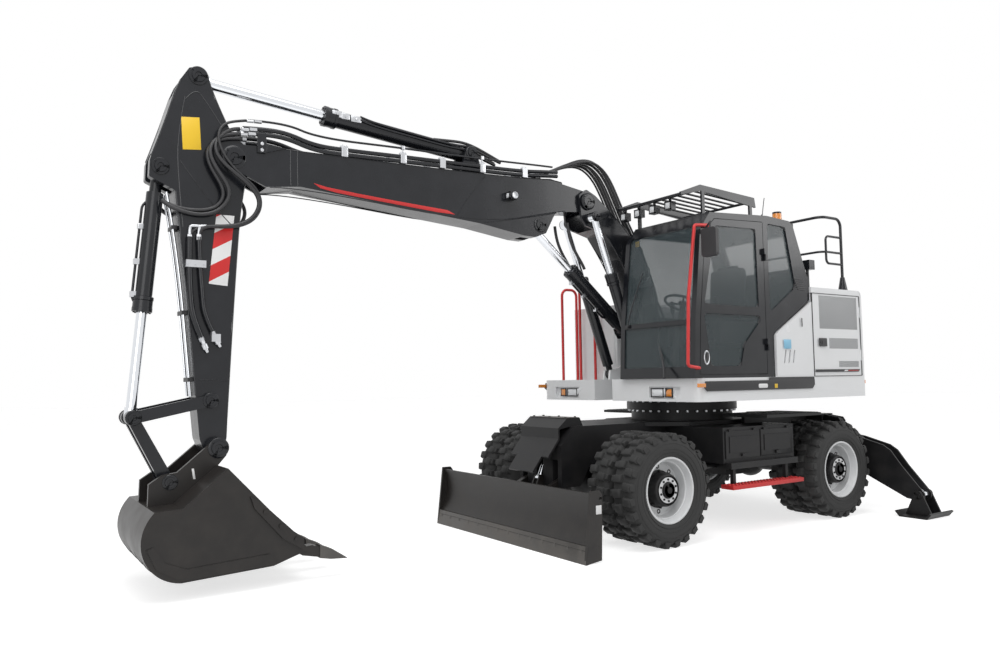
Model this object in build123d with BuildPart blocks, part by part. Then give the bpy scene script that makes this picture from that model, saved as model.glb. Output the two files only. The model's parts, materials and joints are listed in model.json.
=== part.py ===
from build123d import *
import os
from math import atan2, cos, degrees, hypot, radians, sin

os.makedirs("parts", exist_ok=True)

# A wheeled excavator with a two-piece boom, a dozer blade in front and two outriggers behind.
# Millimetres. X points to the blade, Y to the driver's left, Z up, and the ground is Z = 0.

# Driving dimensions of the undercarriage
WHEELBASE = 2600
FRONT_AXLE_X = -378
TYRE_RADIUS = 520
TYRE_WIDTH = 590
TYRE_OUTER_Y = 1245
TWIN_GAP = 34
LUG_COUNT = 24
LUG_HEIGHT = 26
LUG_WIDTH = 70
RIM_RADIUS = 302
RIM_FIT = 0.3
KINGPIN_Y = 560
KINGPIN_RADIUS = 30
KINGPIN_FIT = 0.06
KNUCKLE_GAP = 0.5
BEAM_RADIUS = 85
HOUSING_RADIUS = 175
HUB_DRUM_RADIUS = 140
HUB_RADIUS = 150
BEARING_GAP = 0.3
FRAME_HALF_WIDTH = 350
FRAME_TOP_Z = 1080
FRAME_WALL_Z = 700
FLANGE = 40

# Driving dimensions of the blade, the outriggers and their linkages
BLADE_HALF_WIDTH = 1258
BLADE_HEIGHT = 600
BLADE_REACH = 1033
BLADE_PLATE = 24
BLADE_EYE_RADIUS = 18
BLADE_ARM_LENGTH = 490
BLADE_ARM_PITCH = -24
BLADE_ARM_Y = 250
BLADE_ARM_HALF = 30
SIDE_GAP = 6
PIN_GAP = 0.5
ROD_FIT = 0.08
OUTRIGGER_BEHIND = 760
OUTRIGGER_PIVOT = (500, 800)
FOOT_PIN = (1690, 235)
LEG_CYL_BASE = (720, 1000)
LEG_HALF = 80
LEG_PLATE = 20
PAD_LENGTH = 460
PAD_HALF_WIDTH = 200

# Driving dimensions of the upper structure
SLEW_BEHIND = 1450
RING_RADIUS = 610
RING_BOTTOM_Z = 1190
DECK_BOTTOM_Z = 1304
DECK_TOP_Z = 1530
HOUSE_TOP_Z = 2485
UPPER_HALF_WIDTH = 1240
TAIL_RADIUS = 2050
TAIL_DEPTH = 450
PANEL = 30
DOOR_GAP = 6
HINGE_RADIUS = 10
HINGE_LENGTH = 60

# Driving dimensions of the cab
CAB_RIGHT_Y = 185
CAB_LEFT_Y = 1220
CAB_FLOOR_Z = DECK_TOP_Z + BEARING_GAP
CAB_WALL = 45
GLASS_DEPTH = 15
GLASS = 6
GLASS_FIT = 0.3

# Driving dimensions of the digging gear, at rest as it is parked
BOOM_Y = -140
BASE_BOOM_LENGTH = 1852
BASE_BOOM_PITCH = 59.14
FRONT_BOOM_LENGTH = 3688
FRONT_BOOM_PITCH = -0.82
ARM_LENGTH = 2321
ARM_PITCH = -87.06
BASE_BOOM_HALF = 150
FRONT_BOOM_HALF = 150
ARM_HALF = 120
ARM_EYE_HALF = 71.5
BUCKET_CYL_HALF = 49.5
LIFT_Y = 240
LIFT_HALF = 36
BUCKET_WIDTH = 1050
BUCKET_WALL = 22
EAR_Y = 165
EAR = 36
TOOTH_COUNT = 4


def polar(start, length, pitch):
    """The point of the XZ plane that lies at this length and pitch from start."""
    return (start[0] + length * cos(radians(pitch)), start[1] + length * sin(radians(pitch)))


def local(start, pitch, outline):
    """Points along and across a link, turned to the link's pitch and moved to its first pin."""
    c, s = cos(radians(pitch)), sin(radians(pitch))
    return [(start[0] + u * c - v * s, start[1] + u * s + v * c) for u, v in outline]


def pitch_of(start, end):
    return degrees(atan2(end[1] - start[1], end[0] - start[0]))


def span(start, end):
    return hypot(end[0] - start[0], end[1] - start[1])


def side_plate(outline, y, thickness, corner=0, mode=Mode.ADD, inset=0):
    """A plate parallel to XZ, centred on y, with its corners rounded and its edge moved in."""
    with BuildSketch(Plane.XZ.offset(-y)) as face:
        with BuildLine():
            Polyline(*outline, close=True)
        make_face()
        if corner:
            fillet(face.vertices(), corner)
        if inset:
            offset(amount=-inset, kind=Kind.INTERSECTION, mode=Mode.REPLACE)
    extrude(face.sketch, amount=thickness / 2, both=True, mode=mode)


def cross_plate(outline, x, thickness, mode=Mode.ADD):
    """A plate parallel to YZ, centred on x, from points (y, z)."""
    with BuildSketch(Plane.YZ.offset(x)) as face:
        with BuildLine():
            Polyline(*outline, close=True)
        make_face()
    extrude(face.sketch, amount=thickness / 2, both=True, mode=mode)


def floor_plate(outline, z, thickness, mode=Mode.ADD):
    """A plate parallel to XY, from z upwards, from points (x, y)."""
    with BuildSketch(Plane.XY.offset(z)) as face:
        with BuildLine():
            Polyline(*outline, close=True)
        make_face()
    extrude(face.sketch, amount=thickness, mode=mode)


def block(x, y, z, mode=Mode.ADD):
    """A box from three pairs of limits."""
    with BuildSketch(Plane.XY.offset(z[0])) as base:
        with Locations(((x[0] + x[1]) / 2, (y[0] + y[1]) / 2)):
            Rectangle(abs(x[1] - x[0]), abs(y[1] - y[0]))
    extrude(base.sketch, amount=z[1] - z[0], mode=mode)


def bar(start, end, radius, mode=Mode.ADD):
    """A round bar between two points."""
    run = Vector(*end) - Vector(*start)
    with BuildSketch(Plane(origin=start, z_dir=run)) as section:
        Circle(radius)
    extrude(section.sketch, amount=run.length, mode=mode)


def cross_pin(point, y, radius, mode=Mode.ADD):
    """A round pin along Y at a point (x, z), between two values of y."""
    bar((point[0], min(y), point[1]), (point[0], max(y), point[1]), radius, mode)


def upright(x, y, z, radius, mode=Mode.ADD):
    """A round bar along Z at (x, y), between two heights."""
    bar((x, y, min(z)), (x, y, max(z)), radius, mode)


def rail(points, radius, bend):
    """A bent tube through the points, its bends of one radius."""
    with BuildLine() as path:
        FilletPolyline(*points, radius=bend)
    start = Plane(origin=path.line @ 0, z_dir=path.line % 0)
    with BuildSketch(start) as section:
        Circle(radius)
    sweep(section.sketch, path=path.line)


# Places that follow from the driving dimensions
REAR_AXLE_X = FRONT_AXLE_X - WHEELBASE
SLEW_X = FRONT_AXLE_X - SLEW_BEHIND
TYRE_INNER_Y = TYRE_OUTER_Y - TYRE_WIDTH
AXLE_Z = TYRE_RADIUS
DISC_Y = TYRE_OUTER_Y - 200
DISC = 20
BLADE_X = FRONT_AXLE_X + BLADE_REACH
OUTRIGGER_X = REAR_AXLE_X - OUTRIGGER_BEHIND
SIDES = (("left", 1), ("right", -1))
CYL_LUG = 16
LEG_CYL_HALF = 38
CYL_LUG_X = LEG_CYL_HALF + PIN_GAP + CYL_LUG / 2

# Wheels: side and axle of each corner
CORNERS = (
    ("front_left", FRONT_AXLE_X, 1),
    ("front_right", FRONT_AXLE_X, -1),
    ("rear_left", REAR_AXLE_X, 1),
    ("rear_right", REAR_AXLE_X, -1),
)
# Twin tyres: section of the pair from its middle outwards, each row a distance along Y and a radius
TWIN_SECTION = (
    (TWIN_GAP / 2, RIM_RADIUS + 38),
    (TWIN_GAP / 2 + 17, TYRE_RADIUS - LUG_HEIGHT - 10),
    (TYRE_WIDTH / 2 - 30, TYRE_RADIUS - LUG_HEIGHT - 10),
    (TYRE_WIDTH / 2, RIM_RADIUS + 98),
    (TYRE_WIDTH / 2 - 14, RIM_RADIUS + 8),
)
LUG_STEP = 360 / LUG_COUNT
LUG_ROOT = TYRE_RADIUS - LUG_HEIGHT
tread_outline = []
for lug in range(LUG_COUNT):
    for across, radius in (
        (-LUG_WIDTH / 2, LUG_ROOT),
        (-LUG_WIDTH / 2, TYRE_RADIUS),
        (LUG_WIDTH / 2, TYRE_RADIUS),
        (LUG_WIDTH / 2, LUG_ROOT),
    ):
        turn = radians(lug * LUG_STEP - 90)
        tread_outline.append(
            (radius * cos(turn) - across * sin(turn), radius * sin(turn) + across * cos(turn))
        )
with BuildPart() as twin_tyre:
    mirrored_half = [(-y, radius) for y, radius in reversed(TWIN_SECTION)]
    for y, radius in (*mirrored_half, *TWIN_SECTION):
        with BuildSketch(Plane.XZ.offset(-y)):
            RegularPolygon(radius, LUG_COUNT, major_radius=False, rotation=LUG_STEP / 2)
    loft(ruled=True)
    # The lugs stand round the tread of both tyres and end in steps at its shoulders.
    for side in (-1, 1):
        with BuildSketch(Plane.XZ.offset(-side * (TWIN_GAP / 2 + 12))) as tread:
            with BuildLine():
                Polyline(*tread_outline, close=True)
            make_face()
        extrude(tread.sketch, amount=-side * (TYRE_WIDTH / 2 - TWIN_GAP / 2 - 12 - 22))
    with BuildSketch(Plane.XZ.offset(TYRE_WIDTH)) as bore:
        RegularPolygon(RIM_RADIUS, LUG_COUNT, major_radius=False, rotation=LUG_STEP / 2)
    extrude(bore.sketch, amount=-2 * TYRE_WIDTH, mode=Mode.SUBTRACT)
TYRE_MID_Y = TYRE_OUTER_Y - TYRE_WIDTH / 2
for corner, axle_x, side in CORNERS:
    middle = Plane(origin=(axle_x, 0, AXLE_Z), x_dir=(1, 0, 0), z_dir=(0, 0, side))
    with BuildPart() as tyre:
        with Locations((axle_x, side * TYRE_MID_Y, AXLE_Z)):
            add(twin_tyre.part)
    tyre.part.label = "tyre_" + corner
    export_step(tyre.part, "parts/tyre_" + corner + ".step")

    # The rim is a drop-centre barrel with a dished disc, and the hub drum stands in the dish.
    rim_outline = (
        (0, DISC_Y),
        (RIM_RADIUS - 40, DISC_Y),
        (RIM_RADIUS - 40, TYRE_INNER_Y + 40),
        (RIM_RADIUS - 22, TYRE_INNER_Y + 20),
        (RIM_RADIUS - RIM_FIT, TYRE_INNER_Y + 20),
        (RIM_RADIUS - RIM_FIT, TYRE_INNER_Y + 50),
        (RIM_RADIUS - 28, TYRE_INNER_Y + 120),
        (RIM_RADIUS - 28, TYRE_OUTER_Y - 120),
        (RIM_RADIUS - RIM_FIT, TYRE_OUTER_Y - 70),
        (RIM_RADIUS - RIM_FIT, TYRE_OUTER_Y - 28),
        (RIM_RADIUS - 16, TYRE_OUTER_Y - 24),
        (RIM_RADIUS - 40, TYRE_OUTER_Y - 90),
        (RIM_RADIUS - 60, DISC_Y + DISC),
        (HUB_RADIUS, DISC_Y + DISC),
        (HUB_RADIUS - 8, TYRE_OUTER_Y - 62),
        (HUB_RADIUS - 30, TYRE_OUTER_Y - 50),
        (70, TYRE_OUTER_Y - 50),
        (64, TYRE_OUTER_Y - 38),
        (0, TYRE_OUTER_Y - 38),
    )
    with BuildPart() as rim:
        with BuildSketch(middle) as section:
            with BuildLine():
                Polyline(*rim_outline, close=True)
            make_face()
        revolve(section.sketch, axis=Axis((axle_x, 0, AXLE_Z), (0, 1, 0)))
    rim.part.label = "rim_" + corner
    export_step(rim.part, "parts/rim_" + corner + ".step")

# Front axle: beam with a round housing, a fork boss for each kingpin and a saddle under the frame
BOSS_HALF = 105
with BuildPart() as front_axle:
    bar((FRONT_AXLE_X, -KINGPIN_Y, AXLE_Z), (FRONT_AXLE_X, KINGPIN_Y, AXLE_Z), BEAM_RADIUS)
    with Locations((FRONT_AXLE_X, 0, AXLE_Z)):
        Sphere(HOUSING_RADIUS)
    for name, side in SIDES:
        upright(FRONT_AXLE_X, side * KINGPIN_Y, (AXLE_Z - BOSS_HALF, AXLE_Z + BOSS_HALF), 60)
    block((FRONT_AXLE_X - 130, FRONT_AXLE_X + 130), (-90, 90), (AXLE_Z + 100, FRAME_WALL_Z))
    for name, side in SIDES:
        upright(
            FRONT_AXLE_X,
            side * KINGPIN_Y,
            (AXLE_Z - BOSS_HALF, AXLE_Z + BOSS_HALF),
            KINGPIN_RADIUS + KINGPIN_FIT,
            Mode.SUBTRACT,
        )
front_axle.part.label = "front_axle"
export_step(front_axle.part, "parts/front_axle.step")

with BuildPart() as rear_axle:
    bar((REAR_AXLE_X, -TYRE_INNER_Y, AXLE_Z), (REAR_AXLE_X, TYRE_INNER_Y, AXLE_Z), BEAM_RADIUS)
    with Locations((REAR_AXLE_X, 0, AXLE_Z)):
        Sphere(HOUSING_RADIUS)
    for name, side in SIDES:
        drum_y = (side * TYRE_INNER_Y, side * (DISC_Y - BEARING_GAP))
        cross_pin((REAR_AXLE_X, AXLE_Z), drum_y, HUB_DRUM_RADIUS)
        block((REAR_AXLE_X - 130, REAR_AXLE_X + 130), (side * 200, side * 320), (AXLE_Z, FRAME_WALL_Z))
rear_axle.part.label = "rear_axle"
export_step(rear_axle.part, "parts/rear_axle.step")

# Steering knuckles: an upright with two ears round the axle's boss, the kingpin and the wheel's spindle
EAR_Z = BOSS_HALF + KNUCKLE_GAP
for name, side in SIDES:
    upright_y = (side * (KINGPIN_Y + 75), side * (TYRE_INNER_Y + 20))
    with BuildPart() as knuckle:
        block((FRONT_AXLE_X - 60, FRONT_AXLE_X + 60), upright_y, (AXLE_Z - EAR_Z - 40, AXLE_Z + EAR_Z + 40))
        drum_y = (side * (TYRE_INNER_Y + 10), side * (DISC_Y - BEARING_GAP))
        cross_pin((FRONT_AXLE_X, AXLE_Z), drum_y, HUB_DRUM_RADIUS)
        for z in (AXLE_Z + EAR_Z, AXLE_Z - EAR_Z - 40):
            ear_y = (side * KINGPIN_Y, side * TYRE_INNER_Y)
            block((FRONT_AXLE_X - 55, FRONT_AXLE_X + 55), ear_y, (z, z + 40))
            upright(FRONT_AXLE_X, side * KINGPIN_Y, (z, z + 40), 55)
        pin_z = (AXLE_Z - EAR_Z - 20, AXLE_Z + EAR_Z + 20)
        upright(FRONT_AXLE_X, side * KINGPIN_Y, pin_z, KINGPIN_RADIUS)
    knuckle.part.label = "knuckle_" + name
    export_step(knuckle.part, "parts/knuckle_" + name + ".step")

# Drivetrain: gearbox in front of the rear axle and the shaft to the front axle
GEARBOX_X = (REAR_AXLE_X + 190, REAR_AXLE_X + 620)
with BuildPart() as drivetrain:
    block(GEARBOX_X, (-170, 170), (AXLE_Z - 110, FRAME_WALL_Z - 30))
    shaft_end = HOUSING_RADIUS + BEARING_GAP
    bar((REAR_AXLE_X + shaft_end, 0, AXLE_Z), (GEARBOX_X[0], 0, AXLE_Z), 60)
    bar((GEARBOX_X[1], 0, AXLE_Z), (FRONT_AXLE_X - shaft_end, 0, AXLE_Z), 38)
drivetrain.part.label = "drivetrain"
export_step(drivetrain.part, "parts/drivetrain.step")

# Undercarriage frame: a welded box that is arched over the axles, with the slew pedestal on top
FRAME_FRONT_X = FRONT_AXLE_X + 560
CROSS_BOX_HALF = 110
FRAME_REAR_X = OUTRIGGER_X + CROSS_BOX_HALF
BLADE_PIVOT = (FRAME_FRONT_X - 190, 590)
BLADE_CYL_TOP = (FRAME_FRONT_X - 160, 985)
POCKET_HALF = 55
ARM_SLOT_HALF = 40
frame_side = (
    (FRAME_FRONT_X, 500),
    (FRAME_FRONT_X, 900),
    (FRAME_FRONT_X - 160, FRAME_TOP_Z),
    (FRAME_REAR_X, FRAME_TOP_Z),
    (FRAME_REAR_X, 640),
    (REAR_AXLE_X - 260, 640),
    (REAR_AXLE_X - 200, FRAME_WALL_Z),
    (FRONT_AXLE_X + 200, FRAME_WALL_Z),
    (FRONT_AXLE_X + 330, 500),
)
# Cover on the frame's nose, from the front axle: hood, and the tongue that reaches down to the blade
COVER_HALF = 310
COVER_TONGUE_HALF = 205
HOOD_OUTLINE = (
    (250, 1070),
    (290, 1158),
    (450, 1158),
    (560, 1067),
    (560, 967),
    (690, 800),
    (674, 788),
    (545, 953),
    (545, 1055),
    (440, 1075),
)
TONGUE_OUTLINE = ((560, 967), (800, 660), (784, 648), (544, 955))
# Lug of an outrigger's cylinder on the cross box: distance from the middle, height
LEG_CYL_LUG = (
    (FRAME_HALF_WIDTH + 20, 1070),
    (FRAME_HALF_WIDTH + 20, 960),
    (640, 960),
    (690, 950),
    (755, 965),
    (770, 1000),
    (740, 1045),
    (560, 1070),
)


def from_front_axle(outline):
    """Points whose x counts from the front axle, in the machine's frame."""
    return [(FRONT_AXLE_X + x, z) for x, z in outline]


with BuildPart() as frame:
    side_plate(frame_side, 0, 2 * FRAME_HALF_WIDTH)
    floor_plate(
        (
            (SLEW_X + 900, FRAME_HALF_WIDTH),
            (SLEW_X + 560, 640),
            (SLEW_X - 560, 640),
            (SLEW_X - 900, FRAME_HALF_WIDTH),
            (SLEW_X - 900, -FRAME_HALF_WIDTH),
            (SLEW_X - 560, -640),
            (SLEW_X + 560, -640),
            (SLEW_X + 900, -FRAME_HALF_WIDTH),
        ),
        FRAME_TOP_Z - FLANGE,
        FLANGE,
    )
    bar((SLEW_X, 0, FRAME_TOP_Z), (SLEW_X, 0, RING_BOTTOM_Z), 560)
    for name, side in SIDES:
        # The blade's arms hang in slots between the frame's front plates.
        block(
            (BLADE_PIVOT[0] - 110, FRAME_FRONT_X + 1),
            (side * (BLADE_ARM_Y - ARM_SLOT_HALF), side * (BLADE_ARM_Y + ARM_SLOT_HALF)),
            (499, 760),
            Mode.SUBTRACT,
        )
    # The blade cylinder stands in a pocket on the centre line.
    block((BLADE_CYL_TOP[0] - 60, FRAME_FRONT_X + 1), (-POCKET_HALF, POCKET_HALF), (499, 1040), Mode.SUBTRACT)
    # The outriggers' cross box at the tail, open for the legs, with the lugs of their cylinders
    block((OUTRIGGER_X - CROSS_BOX_HALF, FRAME_REAR_X), (-560, 560), (660, FRAME_TOP_Z))
    for name, side in SIDES:
        block(
            (OUTRIGGER_X - LEG_HALF - SIDE_GAP, OUTRIGGER_X + LEG_HALF + SIDE_GAP),
            (side * FRAME_HALF_WIDTH, side * 561),
            (659, FRAME_TOP_Z - 30),
            Mode.SUBTRACT,
        )
        for x in (-CYL_LUG_X, CYL_LUG_X):
            cross_plate([(side * y, z) for y, z in LEG_CYL_LUG], OUTRIGGER_X + x, CYL_LUG)
    # Cover over the blade's pivots: a hood on the frame's nose and a sloping plate with a narrower tongue
    side_plate(from_front_axle(HOOD_OUTLINE), 0, 2 * COVER_HALF)
    side_plate(from_front_axle(TONGUE_OUTLINE), 0, 2 * COVER_TONGUE_HALF)
frame.part.label = "undercarriage_frame"
export_step(frame.part, "parts/undercarriage_frame.step")

# Tool boxes between the wheels, each with its tread plate above and its step below
BOX_X = (FRONT_AXLE_X - 1930, FRONT_AXLE_X - 840)
BOX_TOP_Z = FRAME_TOP_Z - FLANGE - BEARING_GAP
for name, side in SIDES:
    with BuildPart() as side_box:
        block(BOX_X, (side * (FRAME_HALF_WIDTH + BEARING_GAP), side * 1120), (690, BOX_TOP_Z))
        block((BOX_X[0] + 30, BOX_X[1] - 30), (side * 1120, side * 1190), (640, 700))
        for x in (BOX_X[0] + 120, BOX_X[1] - 160):
            block((x, x + 40), (side * 1090, side * 1130), (480, 690))
        block((BOX_X[0], BOX_X[1]), (side * 1080, side * 1230), (450, 485))
        block((BOX_X[0] - 330, BOX_X[0] + 560), (side * 655, side * 1235), (1120, 1150))
        block((BOX_X[0], BOX_X[0] + 300), (side * 700, side * 740), (BOX_TOP_Z, 1120))
    side_box.part.label = "side_box_" + name
    export_step(side_box.part, "parts/side_box_" + name + ".step")

# Blade arms: two flat arms between the frame's front and the blade, joined by a cross tube
BLADE_PIN = polar(BLADE_PIVOT, BLADE_ARM_LENGTH, BLADE_ARM_PITCH)
ARM_DEPTH = 48
CROSS_REACH = 274
BLADE_EYE = local(BLADE_PIVOT, BLADE_ARM_PITCH, ((196, 60),))[0]
BLADE_LUG = 20
BLADE_EYE_HALF = 24.5
with BuildPart() as blade_arms:
    arm_end = BLADE_ARM_LENGTH + 35
    outline = ((-50, -ARM_DEPTH), (arm_end, -ARM_DEPTH), (arm_end, ARM_DEPTH), (-50, ARM_DEPTH))
    flat_arm = local(BLADE_PIVOT, BLADE_ARM_PITCH, outline)
    for name, side in SIDES:
        side_plate(flat_arm, side * BLADE_ARM_Y, 2 * BLADE_ARM_HALF, corner=30)
        slot_seat = ARM_SLOT_HALF - PIN_GAP
        lug_seat = BLADE_ARM_HALF + SIDE_GAP - PIN_GAP
        for pin, seat in ((BLADE_PIVOT, slot_seat), (BLADE_PIN, lug_seat)):
            cross_pin(pin, (side * (BLADE_ARM_Y - seat), side * (BLADE_ARM_Y + seat)), 42)
    cross_pin(polar(BLADE_PIVOT, CROSS_REACH, BLADE_ARM_PITCH), (-BLADE_ARM_Y, BLADE_ARM_Y), 34)
    lug = ((158, 62), (172, 92), (206, 96), (235, 70), (300, 12), (274, -30), (240, -22), (168, 34))
    for side in (-1, 1):
        y = side * (BLADE_EYE_HALF + PIN_GAP + BLADE_LUG / 2)
        side_plate(local(BLADE_PIVOT, BLADE_ARM_PITCH, lug), y, BLADE_LUG)
blade_arms.part.label = "blade_arms"
export_step(blade_arms.part, "parts/blade_arms.step")

# Dozer blade: a curved mouldboard with a cutting edge, end plates and rear lugs
BLADE_TOP_X = BLADE_X - 78
BLADE_BULGE_X = BLADE_X - 112
BLADE_FOOT_X = BLADE_X - 12
with BuildPart() as blade:
    with BuildSketch(Plane.XZ.offset(-BLADE_HALF_WIDTH)) as mouldboard:
        with BuildLine():
            ThreePointArc((BLADE_FOOT_X, 110), (BLADE_BULGE_X, 330), (BLADE_TOP_X, BLADE_HEIGHT - 20))
            Line((BLADE_TOP_X, BLADE_HEIGHT - 20), (BLADE_TOP_X - BLADE_PLATE, BLADE_HEIGHT - 20))
            ThreePointArc(
                (BLADE_TOP_X - BLADE_PLATE, BLADE_HEIGHT - 20),
                (BLADE_BULGE_X - BLADE_PLATE, 330),
                (BLADE_FOOT_X - BLADE_PLATE, 110),
            )
            Line((BLADE_FOOT_X - BLADE_PLATE, 110), (BLADE_FOOT_X, 110))
        make_face()
    extrude(mouldboard.sketch, amount=2 * BLADE_HALF_WIDTH)
    cutting_edge = ((BLADE_X, 0), (BLADE_X - 26, 0), (BLADE_X - 48, 150), (BLADE_X - 22, 150))
    side_plate(cutting_edge, 0, 2 * BLADE_HALF_WIDTH)
    for name, side in SIDES:
        side_plate(
            (
                (BLADE_X, 0),
                (BLADE_X - 175, 20),
                (BLADE_X - 195, 560),
                (BLADE_X - 165, BLADE_HEIGHT),
                (BLADE_TOP_X + 10, BLADE_HEIGHT),
            ),
            side * (BLADE_HALF_WIDTH - BLADE_PLATE / 2),
            BLADE_PLATE,
        )
        plate_y = (side * (BLADE_HALF_WIDTH - BLADE_PLATE - 1), side * (BLADE_HALF_WIDTH + 1))
        cross_pin((BLADE_X - 172, 532), plate_y, BLADE_EYE_RADIUS, Mode.SUBTRACT)
        lug_y = BLADE_ARM_HALF + SIDE_GAP + BLADE_LUG / 2
        for y in (BLADE_ARM_Y - lug_y, BLADE_ARM_Y + lug_y):
            side_plate(
                (
                    (BLADE_PIN[0] - 50, BLADE_PIN[1] - 40),
                    (BLADE_BULGE_X - 6, BLADE_PIN[1] - 90),
                    (BLADE_BULGE_X - 6, BLADE_PIN[1] + 120),
                    (BLADE_PIN[0] - 50, BLADE_PIN[1] + 40),
                ),
                side * y,
                BLADE_LUG,
            )
    rib_end = BLADE_HALF_WIDTH - BLADE_PLATE / 2
    block((BLADE_X - 190, BLADE_X - 110), (-rib_end, rib_end), (230, 260))
blade.part.label = "blade"
export_step(blade.part, "parts/blade.step")


def in_side_view(point, offset):
    """A point of the machine's side view, moved across it by offset."""
    return (point[0], offset, point[1])


def cylinder(name, base, eye, offsets, sizes, widths, strokes, place=in_side_view):
    """A hydraulic cylinder: the barrel hangs on the base pin, and the rod reaches out of it to the eye.

    sizes: radii of barrel, rod and bosses, and the gland's share of the length
    widths: half widths of the bosses at base and eye, and the reach of the narrow neck at the base
    strokes: how far the rod moves out and in from here
    """
    bore, rod, boss, gland = sizes
    base_half, eye_half, neck = widths
    extend, retract = strokes
    pitch = pitch_of(base, eye)
    length = span(base, eye)
    gland_end = length * gland
    held = extend + 60

    def at(distance, offset):
        return place(polar(base, distance, pitch), offset)

    with BuildPart() as barrel:
        for y in offsets:
            bar(place(base, y - base_half), place(base, y + base_half), boss)
            bar(at(0, y), at(neck + 10, y), min(boss, base_half) * 0.95)
            bar(at(neck, y), at(gland_end, y), bore)
            bar(at(gland_end - bore * 1.3, y), at(gland_end, y), bore * 1.16)
            bar(at(gland_end - held - retract - 10, y), at(gland_end, y), rod + ROD_FIT, Mode.SUBTRACT)
    barrel.part.label = name + "_barrel"
    export_step(barrel.part, "parts/" + name + "_barrel.step")
    with BuildPart() as piston_rod:
        for y in offsets:
            bar(at(gland_end - held, y), at(length, y), rod)
            bar(place(eye, y - eye_half), place(eye, y + eye_half), boss)
            bar(at(length - boss * 1.6, y), at(length, y), min(rod * 1.3, eye_half * 0.95))
    piston_rod.part.label = name + "_rod"
    export_step(piston_rod.part, "parts/" + name + "_rod.step")


cylinder(
    "blade_cylinder",
    BLADE_CYL_TOP,
    BLADE_EYE,
    (0,),
    (40, 22, 32, 0.54),
    (POCKET_HALF - PIN_GAP, BLADE_EYE_HALF, 30),
    (0, 136),
)

# Outriggers: legs of two plates that swing down at the tail, each with its foot and its cylinder
LEG = (
    (430, 870),
    (510, 905),
    (1000, 830),
    (1300, 748),
    (1385, 692),
    (1507, 529),
    (1748, 249),
    (1740, 190),
    (1690, 172),
    (1554, 183),
    (1135, 378),
    (600, 640),
    (430, 730),
)
LEG_WEB = ((1480, 230), (1554, 197), (1548, 183), (1135, 378), (700, 591), (706, 606))
FOOT_LUG = 20
FOOT_TRIANGLE = (
    (FOOT_PIN[0] - 150, 10),
    (FOOT_PIN[0] + 150, 10),
    (FOOT_PIN[0] + 42, FOOT_PIN[1] + 15),
    (FOOT_PIN[0] + 20, FOOT_PIN[1] + 42),
    (FOOT_PIN[0] - 20, FOOT_PIN[1] + 42),
    (FOOT_PIN[0] - 42, FOOT_PIN[1] + 15),
)
# Section of the pad: half width, height
PAD_SECTION = (
    (-PAD_HALF_WIDTH, 55),
    (-PAD_HALF_WIDTH + 50, 0),
    (PAD_HALF_WIDTH - 50, 0),
    (PAD_HALF_WIDTH, 55),
    (PAD_HALF_WIDTH - 20, 66),
    (PAD_HALF_WIDTH - 60, 18),
    (-PAD_HALF_WIDTH + 60, 18),
    (-PAD_HALF_WIDTH + 20, 66),
)
for name, side in SIDES:

    def in_rear_view(point, offset, side=side):
        """A point of the machine's rear view on this side, moved forward by offset."""
        return (OUTRIGGER_X + offset, side * point[0], point[1])

    with BuildPart() as outrigger:
        for end in (-1, 1):
            x = end * (LEG_HALF - LEG_PLATE / 2)
            cross_plate([(side * y, z) for y, z in LEG], OUTRIGGER_X + x, LEG_PLATE)
            outside = end * (LEG_HALF + SIDE_GAP - PIN_GAP)
            inside = end * (LEG_CYL_HALF + PIN_GAP)
            bar(in_rear_view(OUTRIGGER_PIVOT, -outside), in_rear_view(OUTRIGGER_PIVOT, outside), 60)
            bar(in_rear_view(FOOT_PIN, inside), in_rear_view(FOOT_PIN, outside), 40)
        cross_plate([(side * y, z) for y, z in LEG_WEB], OUTRIGGER_X, 2 * LEG_HALF - LEG_PLATE)
    outrigger.part.label = "outrigger_" + name
    export_step(outrigger.part, "parts/outrigger_" + name + ".step")
    with BuildPart() as pad:
        section = [(side * (FOOT_PIN[0] + y), z) for y, z in PAD_SECTION]
        cross_plate(section, OUTRIGGER_X, PAD_LENGTH)
        for end in (-1, 1):
            x = end * (LEG_HALF + SIDE_GAP + FOOT_LUG / 2)
            cross_plate([(side * y, z) for y, z in FOOT_TRIANGLE], OUTRIGGER_X + x, FOOT_LUG)
    pad.part.label = "pad_" + name
    export_step(pad.part, "parts/pad_" + name + ".step")
    cylinder(
        "outrigger_cylinder_" + name,
        LEG_CYL_BASE,
        FOOT_PIN,
        (0,),
        (42, 25, 34, 0.68),
        (LEG_CYL_HALF, LEG_CYL_HALF, 70),
        (0, 280),
        in_rear_view,
    )

# Slew ring between the pedestal and the deck
with BuildPart() as slew_ring:
    bar((SLEW_X, 0, RING_BOTTOM_Z), (SLEW_X, 0, DECK_BOTTOM_Z - 30), RING_RADIUS)
    bar((SLEW_X, 0, DECK_BOTTOM_Z - 30), (SLEW_X, 0, DECK_BOTTOM_Z - BEARING_GAP), RING_RADIUS - 60)
    bar((SLEW_X, 0, RING_BOTTOM_Z), (SLEW_X, 0, DECK_BOTTOM_Z), 380, Mode.SUBTRACT)
slew_ring.part.label = "slew_ring"
export_step(slew_ring.part, "parts/slew_ring.step")

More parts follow.
